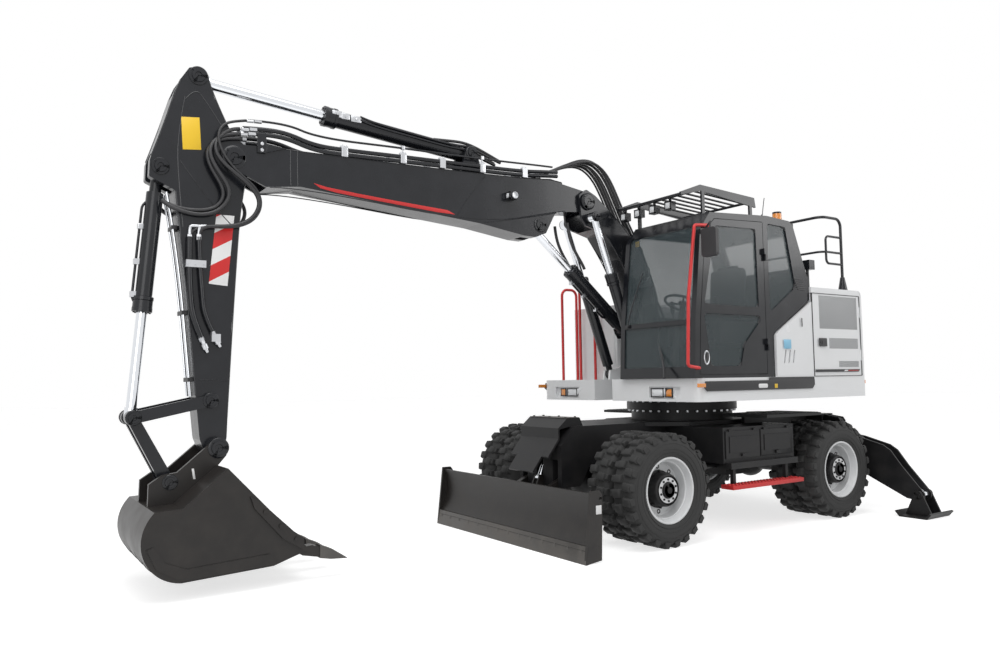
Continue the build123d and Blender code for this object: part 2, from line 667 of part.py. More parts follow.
# Boom pins and the upper deck that carries them
BOOM_FOOT = (SLEW_X + 380, 1830)
KNUCKLE_PIN = polar(BOOM_FOOT, BASE_BOOM_LENGTH, BASE_BOOM_PITCH)
ARM_PIN = polar(KNUCKLE_PIN, FRONT_BOOM_LENGTH, FRONT_BOOM_PITCH)
BUCKET_PIN = polar(ARM_PIN, ARM_LENGTH, ARM_PITCH)
LIFT_FOOT = (BOOM_FOOT[0] + 330, 1590)
LIFT_EYE = local(BOOM_FOOT, BASE_BOOM_PITCH, ((BASE_BOOM_LENGTH - 159, -84),))[0]
ADJUST_BASE = local(BOOM_FOOT, BASE_BOOM_PITCH, ((374, -168),))[0]
ADJUST_EYE = local(KNUCKLE_PIN, FRONT_BOOM_PITCH, ((632, -300),))[0]
ARM_CYL_BASE = local(KNUCKLE_PIN, FRONT_BOOM_PITCH, ((1402, 352),))[0]
ARM_CYL_EYE = local(ARM_PIN, ARM_PITCH, ((-611, 308),))[0]
BUCKET_CYL_BASE = local(ARM_PIN, ARM_PITCH, ((170, 541),))[0]
IDLER_PIN = local(ARM_PIN, ARM_PITCH, ((ARM_LENGTH - 364, 66),))[0]
LINK_PIN = (BUCKET_PIN[0] + 601, BUCKET_PIN[1] + 252)
BUCKET_LINK_PIN = (BUCKET_PIN[0] + 351, BUCKET_PIN[1] - 234)

DECK_FRONT_X = SLEW_X + 1035
WEIGHT_X = SLEW_X - TAIL_RADIUS + TAIL_DEPTH
FOOT_SEAT = 175
OUTER_LUG = 24
LAMP_RECESS = 30
LAMP_BOX_Y = (560, 985)
LAMP_BOX_Z = (1331, 1452)
# Lamps in the recess: inner and outer edge from the middle of the machine
DECK_LAMPS = ((585, 765), (785, 885))
with BuildPart() as deck:
    with BuildSketch(Plane.XY.offset(DECK_BOTTOM_Z)) as plan:
        with Locations(((DECK_FRONT_X + WEIGHT_X) / 2, 0)):
            Rectangle(DECK_FRONT_X - WEIGHT_X, 2 * UPPER_HALF_WIDTH)
        fillet(plan.vertices().group_by(Axis.X)[-1], 120)
    extrude(plan.sketch, amount=DECK_TOP_Z - DECK_BOTTOM_Z)
    # The deck is open in front, where the boom's foot and the lift cylinders stand.
    gap_y = (BOOM_Y - 145, BOOM_Y + 145)
    block((BOOM_FOOT[0] + 200, DECK_FRONT_X + 1), gap_y, (DECK_BOTTOM_Z - 1, DECK_TOP_Z + 1), Mode.SUBTRACT)
    inner_lug = LIFT_Y - LIFT_HALF - PIN_GAP - FOOT_SEAT
    for side in (-1, 1):
        side_plate(
            (
                (BOOM_FOOT[0] - 260, DECK_TOP_Z - 10),
                (LIFT_FOOT[0] + 75, DECK_TOP_Z - 10),
                (LIFT_FOOT[0] + 60, LIFT_FOOT[1] + 45),
                (LIFT_FOOT[0] - 55, LIFT_FOOT[1] + 65),
                (BOOM_FOOT[0] + 110, BOOM_FOOT[1] - 60),
                (BOOM_FOOT[0] + 95, BOOM_FOOT[1] + 60),
                (BOOM_FOOT[0] + 20, BOOM_FOOT[1] + 105),
                (BOOM_FOOT[0] - 80, BOOM_FOOT[1] + 80),
            ),
            BOOM_Y + side * (FOOT_SEAT + inner_lug / 2),
            inner_lug,
            corner=12,
        )
        side_plate(
            (
                (LIFT_FOOT[0] - 110, DECK_TOP_Z - 10),
                (LIFT_FOOT[0] + 75, DECK_TOP_Z - 10),
                (LIFT_FOOT[0] + 55, LIFT_FOOT[1] + 45),
                (LIFT_FOOT[0] - 45, LIFT_FOOT[1] + 50),
            ),
            BOOM_Y + side * (LIFT_Y + LIFT_HALF + PIN_GAP + OUTER_LUG / 2),
            OUTER_LUG,
            corner=12,
        )
    # A recess with a head lamp and a turn lamp on each side of the front
    for name, side in SIDES:
        bed_x = DECK_FRONT_X - LAMP_RECESS
        recess_y = (side * LAMP_BOX_Y[0], side * LAMP_BOX_Y[1])
        block((bed_x, DECK_FRONT_X + 1), recess_y, LAMP_BOX_Z, Mode.SUBTRACT)
        for start, end in DECK_LAMPS:
            lamp_z = (LAMP_BOX_Z[0] + 12, LAMP_BOX_Z[1] - 12)
            block((bed_x - 1, DECK_FRONT_X - 6), (side * start, side * end), lamp_z)
deck.part.label = "upper_deck"
export_step(deck.part, "parts/upper_deck.step")

# Counterweight: the tail, round about the slew axis
with BuildPart() as counterweight:
    with BuildSketch(Plane.XY.offset(DECK_BOTTOM_Z)) as plan:
        with Locations((SLEW_X, 0)):
            Circle(TAIL_RADIUS)
        with Locations((SLEW_X, 0)):
            Rectangle(2 * TAIL_RADIUS, 2 * UPPER_HALF_WIDTH, mode=Mode.INTERSECT)
        with Locations((WEIGHT_X - 0.3 + TAIL_RADIUS, 0)):
            Rectangle(2 * TAIL_RADIUS, 4 * TAIL_RADIUS, mode=Mode.SUBTRACT)
    extrude(plan.sketch, amount=HOUSE_TOP_Z - DECK_BOTTOM_Z)
    tail_top = counterweight.edges().group_by(Axis.Z)[-1]
    fillet(tail_top.filter_by(GeomType.CIRCLE), 60)
counterweight.part.label = "counterweight"
export_step(counterweight.part, "parts/counterweight.step")

# Engine house: hood, bulkheads and side panel round the engine; its doors are panels of their own
SIDE_PANEL_FRONT_X = FRONT_AXLE_X - 1550
SEAM_X = FRONT_AXLE_X - 2165
BOX_FRONT_X = FRONT_AXLE_X - 900
BOX_LEFT_Y = -455
BULKHEAD = 20
HOOD = 60
# Grilles of the engine doors, from the front axle: front end, rear end, bottom, top
GRILLES = ((-2290, -2985, 2043, 2400), (-2451, -2985, 1829, 1943), (-2615, -2985, 1627, 1694))
GRILLE_DEPTH = 14
SLAT = 9
SLAT_PITCH = 37
# Slots of the side panel: three that lean back, each this wide
SLOT_COUNT = 3
SLOT_PITCH = 72
SLOT_WIDTH = 22
SLOT_LEAN = 30
SLOT_Z = (1672, 1806)
INNER_Y = UPPER_HALF_WIDTH - PANEL - 5
LOW_WALL_Z = 2320
HINGE_HEIGHTS = (1700, 2180)
REAR_POST_X = (WEIGHT_X + DOOR_GAP, WEIGHT_X + DOOR_GAP + BULKHEAD)
HINGE_X = REAR_POST_X[1] + DOOR_GAP / 2


def knuckles(x, y, heights, upper):
    """Hinge knuckles on an upright axis: this piece's half of each, and room for the other half."""
    for z in heights:
        mine = z + HINGE_LENGTH + BEARING_GAP if upper else z
        other = z if upper else z + HINGE_LENGTH
        bar((x, y, other), (x, y, other + HINGE_LENGTH + BEARING_GAP), HINGE_RADIUS + 1, Mode.SUBTRACT)
        bar((x, y, mine), (x, y, mine + HINGE_LENGTH), HINGE_RADIUS)


with BuildPart() as house:
    full_width = (-UPPER_HALF_WIDTH, UPPER_HALF_WIDTH)
    block((WEIGHT_X + DOOR_GAP, SEAM_X), full_width, (HOUSE_TOP_Z - HOOD, HOUSE_TOP_Z))
    # bulkhead in front of the engine, set back under the cab's rear corner, and the one behind it
    block((SEAM_X, SEAM_X + BULKHEAD), full_width, (DECK_TOP_Z, LOW_WALL_Z))
    block((SEAM_X - BULKHEAD, SEAM_X + 4), (-INNER_Y, INNER_Y), (LOW_WALL_Z - 30, HOUSE_TOP_Z))
    block((WEIGHT_X + DOOR_GAP, WEIGHT_X + 60), (-INNER_Y, INNER_Y), (DECK_TOP_Z, HOUSE_TOP_Z))
    # posts that carry the doors' hinges, at the doors' rear edges
    block(REAR_POST_X, full_width, (DECK_TOP_Z, HOUSE_TOP_Z))
    # cover over the valves between the cab and the right-hand box
    cover_y = (BOX_LEFT_Y + DOOR_GAP, CAB_RIGHT_Y - DOOR_GAP)
    block((SEAM_X, SEAM_X + 440), cover_y, (DECK_TOP_Z, LOW_WALL_Z))
    side_plate(
        (
            (SIDE_PANEL_FRONT_X - DOOR_GAP, DECK_TOP_Z),
            (SIDE_PANEL_FRONT_X - DOOR_GAP, 1965),
            (SIDE_PANEL_FRONT_X - 55, 2000),
            (SEAM_X, 2328),
            (SEAM_X, DECK_TOP_Z),
        ),
        UPPER_HALF_WIDTH - PANEL / 2,
        PANEL,
    )
    for slot in range(SLOT_COUNT):
        x = SIDE_PANEL_FRONT_X - 115 - slot * SLOT_PITCH
        slot_outline = (
            (x, SLOT_Z[0]),
            (x - SLOT_WIDTH, SLOT_Z[0]),
            (x - SLOT_WIDTH - SLOT_LEAN, SLOT_Z[1]),
            (x - SLOT_LEAN, SLOT_Z[1]),
        )
        side_plate(slot_outline, UPPER_HALF_WIDTH - PANEL / 2, PANEL + 2, mode=Mode.SUBTRACT)
    for name, side in SIDES:
        knuckles(HINGE_X, side * UPPER_HALF_WIDTH, HINGE_HEIGHTS, False)
house.part.label = "engine_house"
export_step(house.part, "parts/engine_house.step")

with BuildPart() as engine:
    block((WEIGHT_X + 160, SEAM_X - 140), (-480, 620), (DECK_TOP_Z, HOUSE_TOP_Z - 260))
engine.part.label = "engine"
export_step(engine.part, "parts/engine.step")

for name, side in SIDES:
    with BuildPart() as engine_door:
        block(
            (REAR_POST_X[1] + DOOR_GAP, SEAM_X - DOOR_GAP),
            (side * (UPPER_HALF_WIDTH - PANEL), side * UPPER_HALF_WIDTH),
            (DECK_TOP_Z + DOOR_GAP, HOUSE_TOP_Z - HOOD - DOOR_GAP),
        )
        for front, rear, bottom, top in GRILLES:
            outer = side * UPPER_HALF_WIDTH
            bed = side * (UPPER_HALF_WIDTH - GRILLE_DEPTH)
            grille_x = (FRONT_AXLE_X + front, FRONT_AXLE_X + rear)
            block(grille_x, (bed, outer + side), (bottom, top), Mode.SUBTRACT)
            count = round((front - rear) / SLAT_PITCH)
            for slat in range(1, count):
                x = grille_x[0] - (front - rear) * slat / count
                block((x - SLAT / 2, x + SLAT / 2), (bed - side, outer - side * 2), (bottom - 1, top + 1))
        knuckles(HINGE_X, side * UPPER_HALF_WIDTH, HINGE_HEIGHTS, True)
    engine_door.part.label = "engine_door_" + name
    export_step(engine_door.part, "parts/engine_door_" + name + ".step")

# Right-hand box in front of the engine: fuel tank and control valves under one cover
with BuildPart() as right_box:
    box_x = (SEAM_X + BULKHEAD + BEARING_GAP, BOX_FRONT_X)
    block(box_x, (-UPPER_HALF_WIDTH, BOX_LEFT_Y), (DECK_TOP_Z, 2390))
    fillet(right_box.edges().filter_by(Axis.Z).group_by(Axis.X)[-1], 60)
right_box.part.label = "right_box"
export_step(right_box.part, "parts/right_box.step")

# Cab: outline of its side (x from the front axle, z), hollow, with its windows cut
CAB_SIDE = (
    (-370, CAB_FLOOR_Z),
    (-400, 2100),
    (-500, 2960),
    (-640, 3140),
    (-1500, 3190),
    (-1860, 3170),
    (-1925, 3120),
    (-2125, 2620),
    (-2155, 2580),
    (-2155, 2345),
    (-1595, 2010),
    (-1540, 1950),
    (-1540, CAB_FLOOR_Z),
)
DOOR_SIDE = ((-1430, 1560), (-1430, 3120), (-700, 3085), (-565, 2950), (-465, 2100), (-435, 1560))
DOOR_WINDOW_SIDE = ((-1325, 2235), (-1312, 3035), (-715, 3015), (-530, 2245))
LOW_WINDOW_SIDE = ((-1340, 2150), (-1340, 2095), (-1090, 1860), (-1030, 1645), (-600, 1645), (-520, 2150))
QUARTER_WINDOW_SIDE = ((-1500, 3110), (-1790, 3100), (-1930, 2470), (-1500, 2190))
RIGHT_WINDOW_SIDE = ((-590, 2190), (-660, 3040), (-1780, 3060), (-1930, 2470), (-1560, 2190))


CAB_OUTLINE = from_front_axle(CAB_SIDE)
DOOR_OUTLINE = from_front_axle(DOOR_SIDE)
DOOR_WINDOWS = (from_front_axle(DOOR_WINDOW_SIDE), from_front_axle(LOW_WINDOW_SIDE))
CAB_MID_Y = (CAB_RIGHT_Y + CAB_LEFT_Y) / 2
CAB_WIDTH = CAB_LEFT_Y - CAB_RIGHT_Y
CAB_POST = 60
DOOR_HINGE = (FRONT_AXLE_X - 1430, CAB_LEFT_Y + 22)
DOOR_HINGE_HEIGHTS = (1800, 2720)
STRAP = 26


def cab_block(inset, mode=Mode.ADD):
    """The cab's whole body, moved in by inset on every side."""
    side_plate(CAB_OUTLINE, CAB_MID_Y, CAB_WIDTH - 2 * inset, inset=inset, mode=mode)


def window_blocks(clearance, mode):
    """Blocks through the cab's walls where its panes are, each smaller by clearance."""
    c = clearance
    front_x = (FRONT_AXLE_X - 640, FRONT_AXLE_X - 300)
    pane_y = (CAB_RIGHT_Y + CAB_POST + c, CAB_LEFT_Y - CAB_POST - c)
    block(front_x, pane_y, (2095 + c, 3010 - c), mode)
    block(front_x, pane_y, (1640 + c, 2045 - c), mode)
    rear_y = (CAB_RIGHT_Y + 90 + c, CAB_LEFT_Y - 90 - c)
    block((FRONT_AXLE_X - 2180, FRONT_AXLE_X - 1880), rear_y, (2690 + c, 3030 - c), mode)
    roof_y = (CAB_RIGHT_Y + 200 + c, CAB_LEFT_Y - 200 - c)
    block((FRONT_AXLE_X - 1250 + c, FRONT_AXLE_X - 750 - c), roof_y, (3080, 3250), mode)
    side_plate(from_front_axle(QUARTER_WINDOW_SIDE), CAB_LEFT_Y - 25, 70, corner=25, mode=mode, inset=c)
    side_plate(from_front_axle(RIGHT_WINDOW_SIDE), CAB_RIGHT_Y + 25, 70, corner=25, mode=mode, inset=c)


def door_hinges(upper):
    """The door's hinges, with the strap from each knuckle to its own piece."""
    x, y = DOOR_HINGE
    reach = STRAP if upper else -STRAP
    for z in DOOR_HINGE_HEIGHTS:
        mine = z + HINGE_LENGTH + BEARING_GAP if upper else z
        block((x, x + reach), (CAB_LEFT_Y - 12, y + HINGE_RADIUS), (mine, mine + HINGE_LENGTH))
    knuckles(x, y, DOOR_HINGE_HEIGHTS, upper)


with BuildPart() as cab:
    cab_block(0)
    cab_block(CAB_WALL, Mode.SUBTRACT)
    window_blocks(0, Mode.SUBTRACT)
    side_plate(DOOR_OUTLINE, CAB_LEFT_Y - 25, 70, corner=20, mode=Mode.SUBTRACT)
    door_hinges(False)
cab.part.label = "cab"
export_step(cab.part, "parts/cab.step")

with BuildPart() as panes:
    window_blocks(GLASS_FIT, Mode.ADD)
with BuildPart() as cab_glass:
    cab_block(GLASS_DEPTH)
    cab_block(GLASS_DEPTH + GLASS, Mode.SUBTRACT)
    add(panes.part, mode=Mode.INTERSECT)
cab_glass.part.label = "cab_glass"
export_step(cab_glass.part, "parts/cab_glass.step")

DOOR_THICKNESS = 40
with BuildPart() as cab_door:
    door_y = CAB_LEFT_Y - DOOR_THICKNESS / 2
    side_plate(DOOR_OUTLINE, door_y, DOOR_THICKNESS, corner=20, inset=DOOR_GAP)
    for outline in DOOR_WINDOWS:
        side_plate(outline, door_y, DOOR_THICKNESS + 2, corner=20, mode=Mode.SUBTRACT)
    door_hinges(True)
cab_door.part.label = "cab_door"
export_step(cab_door.part, "parts/cab_door.step")

with BuildPart() as door_glass:
    for outline in DOOR_WINDOWS:
        side_plate(outline, CAB_LEFT_Y - GLASS_DEPTH, GLASS, corner=20, inset=GLASS_FIT)
door_glass.part.label = "door_glass"
export_step(door_glass.part, "parts/door_glass.step")

# Seat with its base and consoles on the cab's floor
SEAT_X = FRONT_AXLE_X - 1240
FLOOR_Z = CAB_FLOOR_Z + CAB_WALL
with BuildPart() as seat:
    block((SEAT_X - 180, SEAT_X + 180), (CAB_MID_Y - 200, CAB_MID_Y + 200), (FLOOR_Z, FLOOR_Z + 320))
    block((SEAT_X - 240, SEAT_X + 260), (CAB_MID_Y - 250, CAB_MID_Y + 250), (FLOOR_Z + 320, FLOOR_Z + 440))
    side_plate(
        (
            (SEAT_X - 240, FLOOR_Z + 400),
            (SEAT_X - 120, FLOOR_Z + 400),
            (SEAT_X - 190, FLOOR_Z + 1150),
            (SEAT_X - 290, FLOOR_Z + 1150),
        ),
        CAB_MID_Y,
        460,
    )
seat.part.label = "seat"
export_step(seat.part, "parts/seat.step")

# Guard over the cab's roof: two side plates, cross tubes and lengthwise bars on short feet
GUARD_Y = (CAB_RIGHT_Y + 40, CAB_LEFT_Y - 110)
GUARD_X = (FRONT_AXLE_X - 1460, FRONT_AXLE_X - 400)
WORK_LAMPS_Y = (160, 372, 592, 812)
BEACON_X = FRONT_AXLE_X - 2000
BEACON_Y = 970
with BuildPart() as roof_guard:
    for y in GUARD_Y:
        side_plate(
            (
                (GUARD_X[0], 3290),
                (GUARD_X[0] + 20, 3390),
                (GUARD_X[1] - 230, 3430),
                (GUARD_X[1] + 40, 3330),
                (GUARD_X[1] + 40, 3300),
                (GUARD_X[1] - 240, 3370),
            ),
            y,
            20,
        )
        for x in (GUARD_X[0] + 60, GUARD_X[1] - 290):
            block((x, x + 40), (y - 10, y + 10), (3100, 3380))
    for x, z in ((GUARD_X[0] + 40, 3350), (GUARD_X[1] - 240, 3395), (GUARD_X[1] + 20, 3315)):
        cross_pin((x, z), (GUARD_Y[0], GUARD_Y[1]), 14)
    for step in range(1, 8):
        y = GUARD_Y[0] + (GUARD_Y[1] - GUARD_Y[0]) * step / 8
        bar((GUARD_X[0] + 40, y, 3350), (GUARD_X[1] - 240, y, 3395), 11)
        bar((GUARD_X[1] - 240, y, 3395), (GUARD_X[1] + 20, y, 3315), 11)
    # Four work lamps hang from a tube of their own under the front bars.
    lamp_x, lamp_z = (GUARD_X[1] - 130, 3352)
    cross_pin((lamp_x, lamp_z), (WORK_LAMPS_Y[0] - 30, GUARD_Y[1]), 12)
    for y in WORK_LAMPS_Y:
        block((lamp_x - 8, lamp_x + 8), (y - 12, y + 12), (lamp_z - 50, lamp_z))
        block((lamp_x - 35, lamp_x + 30), (y - 42, y + 42), (lamp_z - 130, lamp_z - 45))
    # The beacon stands on a bracket whose foot is on the roof's rear edge.
    bracket_z = 3190 + BEARING_GAP
    block((BEACON_X - 70, BEACON_X + 240), (BEACON_Y - 45, BEACON_Y + 45), (bracket_z, bracket_z + 8))
    block((BEACON_X + 150, BEACON_X + 240), (BEACON_Y - 45, BEACON_Y + 45), (bracket_z - 50, bracket_z + 2))
    upright(BEACON_X, BEACON_Y, (bracket_z, bracket_z + 30), 58)
    upright(BEACON_X, BEACON_Y, (bracket_z + 30, bracket_z + 135), 48)
    cab_block(-BEARING_GAP, Mode.SUBTRACT)
roof_guard.part.label = "roof_guard"
export_step(roof_guard.part, "parts/roof_guard.step")

# Rails: behind the cab on the hood, and the ladder rails on the right of the deck
RAIL_RADIUS = 16
RAIL_Y = (1080, 150)
RAIL_X = (FRONT_AXLE_X - 2990, FRONT_AXLE_X - 2640)
RAIL_TOP_Z = 3325
RAIL_MID_Z = 2930
with BuildPart() as hood_rail:
    rail(
        (
            (RAIL_X[0], RAIL_Y[0], HOUSE_TOP_Z),
            (RAIL_X[0], RAIL_Y[0], RAIL_TOP_Z),
            (RAIL_X[1], RAIL_Y[0], RAIL_TOP_Z),
            (RAIL_X[1], RAIL_Y[1], RAIL_TOP_Z),
            (RAIL_X[1], RAIL_Y[1], HOUSE_TOP_Z),
        ),
        RAIL_RADIUS,
        90,
    )
    rail(
        (
            (RAIL_X[0], RAIL_Y[0], RAIL_MID_Z),
            (RAIL_X[1], RAIL_Y[0], RAIL_MID_Z),
            (RAIL_X[1], RAIL_Y[1], RAIL_MID_Z),
        ),
        RAIL_RADIUS - 3,
        90,
    )
    rail(
        (
            (RAIL_X[0], RAIL_Y[0], RAIL_MID_Z + 180),
            (RAIL_X[1] - 60, RAIL_Y[0], RAIL_MID_Z + 180),
            (RAIL_X[1] - 60, RAIL_Y[0], RAIL_MID_Z - 130),
            (RAIL_X[0], RAIL_Y[0], RAIL_MID_Z - 130),
        ),
        RAIL_RADIUS - 3,
        50,
    )
    with Locations((RAIL_X[0], RAIL_Y[0], HOUSE_TOP_Z + 85)):
        Cone(55, 24, 170)
    # work lamp on its stem behind the cab
    lamp_x = FRONT_AXLE_X - 2316
    block((lamp_x - 12, lamp_x + 12), (1088, 1112), (HOUSE_TOP_Z, 2700))
    block((lamp_x - 45, lamp_x + 40), (1045, 1155), (2695, 2800))
hood_rail.part.label = "hood_rail"
export_step(hood_rail.part, "parts/hood_rail.step")

LADDER_Y = -1090
with BuildPart() as ladder_rails:
    for y in (LADDER_Y, LADDER_Y + 330):
        rail(
            (
                (BOX_FRONT_X + 60, y, DECK_TOP_Z),
                (BOX_FRONT_X + 60, y, 2620),
                (BOX_FRONT_X + 280, y, 2620),
                (BOX_FRONT_X + 280, y, DECK_TOP_Z),
            ),
            RAIL_RADIUS,
            80,
        )
ladder_rails.part.label = "ladder_rails"
export_step(ladder_rails.part, "parts/ladder_rails.step")

# Handrail at the cab's front corner, clear of the door's way, and the mirror on its arm
HANDRAIL_Y = CAB_LEFT_Y + 50
RAIL_SEAT_Y = CAB_LEFT_Y + BEARING_GAP
with BuildPart() as cab_handrail:
    rail(
        (
            (FRONT_AXLE_X - 394, RAIL_SEAT_Y, 1625),
            (FRONT_AXLE_X - 394, HANDRAIL_Y, 1625),
            (FRONT_AXLE_X - 225, HANDRAIL_Y, 1645),
            (FRONT_AXLE_X - 257, HANDRAIL_Y, 2282),
            (FRONT_AXLE_X - 368, HANDRAIL_Y, 2977),
            (FRONT_AXLE_X - 575, HANDRAIL_Y, 2995),
            (FRONT_AXLE_X - 575, RAIL_SEAT_Y, 2995),
        ),
        RAIL_RADIUS,
        32,
    )
cab_handrail.part.label = "cab_handrail"
export_step(cab_handrail.part, "parts/cab_handrail.step")

MIRROR_X = FRONT_AXLE_X - 405
MIRROR_Y = CAB_LEFT_Y + 200
with BuildPart() as mirror_piece:
    block((MIRROR_X - 140, MIRROR_X - 96), (RAIL_SEAT_Y, CAB_LEFT_Y + 9), (2912, 2956))
    bar((MIRROR_X - 118, CAB_LEFT_Y + 5, 2934), (MIRROR_X - 15, MIRROR_Y, 2988), 9)
    bar((MIRROR_X - 15, MIRROR_Y, 2995), (MIRROR_X, MIRROR_Y, 2900), 9)
    with BuildSketch(Plane.YZ.offset(MIRROR_X - 20)) as face:
        with Locations((MIRROR_Y, 2795)):
            RectangleRounded(178, 270, 35)
    extrude(face.sketch, amount=40)
mirror_piece.part.label = "mirror"
export_step(mirror_piece.part, "parts/mirror.step")

# Base boom: a bowed box between the deck and the knuckle, forked at its top end
BASE_OUTLINE = (
    (-120, -40),
    (-40, -125),
    (150, -110),
    (420, -30),
    (760, 62),
    (1118, 92),
    (BASE_BOOM_LENGTH - 402, 40),
    (BASE_BOOM_LENGTH - 212, -150),
    (BASE_BOOM_LENGTH - 112, -160),
    (BASE_BOOM_LENGTH + 108, -60),
    (BASE_BOOM_LENGTH + 118, 60),
    (BASE_BOOM_LENGTH + 8, 140),
    (BASE_BOOM_LENGTH - 502, 350),
    (1000, 400),
    (600, 350),
    (250, 250),
    (-80, 110),
)
FORK_WALL = 30
FORK_HALF = BASE_BOOM_HALF - FORK_WALL
TONGUE_HALF = FORK_HALF - SIDE_GAP
ADJUST_HALF = 59.5
ADJUST_LUG = 24
FORK_X = (BASE_BOOM_LENGTH - 292, BASE_BOOM_LENGTH + 248)
FORK_CUT = ((FORK_X[0], -300), (FORK_X[1], -300), (FORK_X[1], 500), (FORK_X[0], 500))
ADJUST_LUG_OUTLINE = ((250, -60), (310, -228), (430, -228), (470, -60), (520, 20))
with BuildPart() as base_boom:
    side_plate(local(BOOM_FOOT, BASE_BOOM_PITCH, BASE_OUTLINE), BOOM_Y, 2 * BASE_BOOM_HALF, corner=24)
    fork_cut = local(BOOM_FOOT, BASE_BOOM_PITCH, FORK_CUT)
    side_plate(fork_cut, BOOM_Y, 2 * FORK_HALF, mode=Mode.SUBTRACT)
    for side in (-1, 1):
        # pin bosses of the foot, and stubs that carry the lift cylinders' eyes
        foot_y = BOOM_Y + side * (FOOT_SEAT - PIN_GAP)
        cross_pin(BOOM_FOOT, (BOOM_Y + side * (BASE_BOOM_HALF - 10), foot_y), 75)
        stub_y = BOOM_Y + side * (LIFT_Y - LIFT_HALF - PIN_GAP)
        cross_pin(LIFT_EYE, (BOOM_Y + side * (BASE_BOOM_HALF - 20), stub_y), 50)
        knuckle_y = (BOOM_Y + side * (TONGUE_HALF + PIN_GAP), BOOM_Y + side * (BASE_BOOM_HALF + 14))
        cross_pin(KNUCKLE_PIN, knuckle_y, 80)
        side_plate(
            local(BOOM_FOOT, BASE_BOOM_PITCH, ADJUST_LUG_OUTLINE),
            BOOM_Y + side * (ADJUST_HALF + PIN_GAP + ADJUST_LUG / 2),
            ADJUST_LUG,
            corner=10,
        )
base_boom.part.label = "base_boom"
export_step(base_boom.part, "parts/base_boom.step")

cylinder(
    "lift_cylinder",
    LIFT_FOOT,
    LIFT_EYE,
    (BOOM_Y - LIFT_Y, BOOM_Y + LIFT_Y),
    (60, 36, 52, 0.64),
    (LIFT_HALF, LIFT_HALF, 110),
    (185, 185),
)
cylinder(
    "adjust_cylinder",
    ADJUST_BASE,
    ADJUST_EYE,
    (BOOM_Y,),
    (72, 42, 60, 0.60),
    (ADJUST_HALF, ADJUST_HALF, 130),
    (320, 215),
)

# Front boom: a box that is deepest over the adjusting cylinder's lug and forked at the nose
FRONT_OUTLINE = (
    (-105, -40),
    (-60, -105),
    (172, -118),
    (421, -142),
    (560, -380),
    (694, -430),
    (832, -425),
    (1355, -345),
    (FRONT_BOOM_LENGTH - 547, -182),
    (FRONT_BOOM_LENGTH - 255, -215),
    (FRONT_BOOM_LENGTH - 48, -120),
    (FRONT_BOOM_LENGTH + 102, -30),
    (FRONT_BOOM_LENGTH + 102, 60),
    (FRONT_BOOM_LENGTH + 12, 110),
    (FRONT_BOOM_LENGTH - 447, 126),
    (FRONT_BOOM_LENGTH - 682, 119),
    (860, 153),
    (487, 192),
    (0, 116),
    (-67, 104),
)
TONGUE_CUT = ((-200, -600), (330, -600), (330, 400), (-200, 400))
ARM_CYL_HALF = 72.5
ARM_CYL_LUG = 30
ARM_CYL_LUG_OUTLINE = ((1270, 100), (1540, 100), (1460, 400), (1350, 400))
NOSE_X = (FRONT_BOOM_LENGTH - 268, FRONT_BOOM_LENGTH + 212)
NOSE_CUT = ((NOSE_X[0], -400), (NOSE_X[1], -400), (NOSE_X[1], 300), (NOSE_X[0], 300))
ADJUST_CUT = ((330, -600), (820, -600), (820, -165), (330, -165))
with BuildPart() as front_boom:
    side_plate(local(KNUCKLE_PIN, FRONT_BOOM_PITCH, FRONT_OUTLINE), BOOM_Y, 2 * FRONT_BOOM_HALF, corner=20)
    for side in (-1, 1):
        # the rear end is a tongue that stands in the base boom's fork
        side_plate(
            local(KNUCKLE_PIN, FRONT_BOOM_PITCH, TONGUE_CUT),
            BOOM_Y + side * (TONGUE_HALF + 50),
            100,
            mode=Mode.SUBTRACT,
        )
        side_plate(
            local(KNUCKLE_PIN, FRONT_BOOM_PITCH, ARM_CYL_LUG_OUTLINE),
            BOOM_Y + side * (ARM_CYL_HALF + PIN_GAP + ARM_CYL_LUG / 2),
            ARM_CYL_LUG,
            corner=12,
        )
    # slots for the arm's tongue and for the adjusting cylinder's eye
    nose_cut = local(KNUCKLE_PIN, FRONT_BOOM_PITCH, NOSE_CUT)
    side_plate(nose_cut, BOOM_Y, 2 * (ARM_HALF + SIDE_GAP), mode=Mode.SUBTRACT)
    eye_cut = local(KNUCKLE_PIN, FRONT_BOOM_PITCH, ADJUST_CUT)
    side_plate(eye_cut, BOOM_Y, 2 * (ADJUST_HALF + PIN_GAP), mode=Mode.SUBTRACT)
    # lamp on the boom's left side
    lamp = ((945, -82), (1035, -82), (1035, -12), (945, -12))
    lamp_y = BOOM_Y + FRONT_BOOM_HALF + 34
    side_plate(local(KNUCKLE_PIN, FRONT_BOOM_PITCH, lamp), lamp_y, 70, corner=10)
front_boom.part.label = "front_boom"
export_step(front_boom.part, "parts/front_boom.step")

cylinder(
    "arm_cylinder",
    ARM_CYL_BASE,
    ARM_CYL_EYE,
    (BOOM_Y,),
    (75, 48, 66, 0.575),
    (ARM_CYL_HALF, ARM_EYE_HALF, 120),
    (345, 800),
)

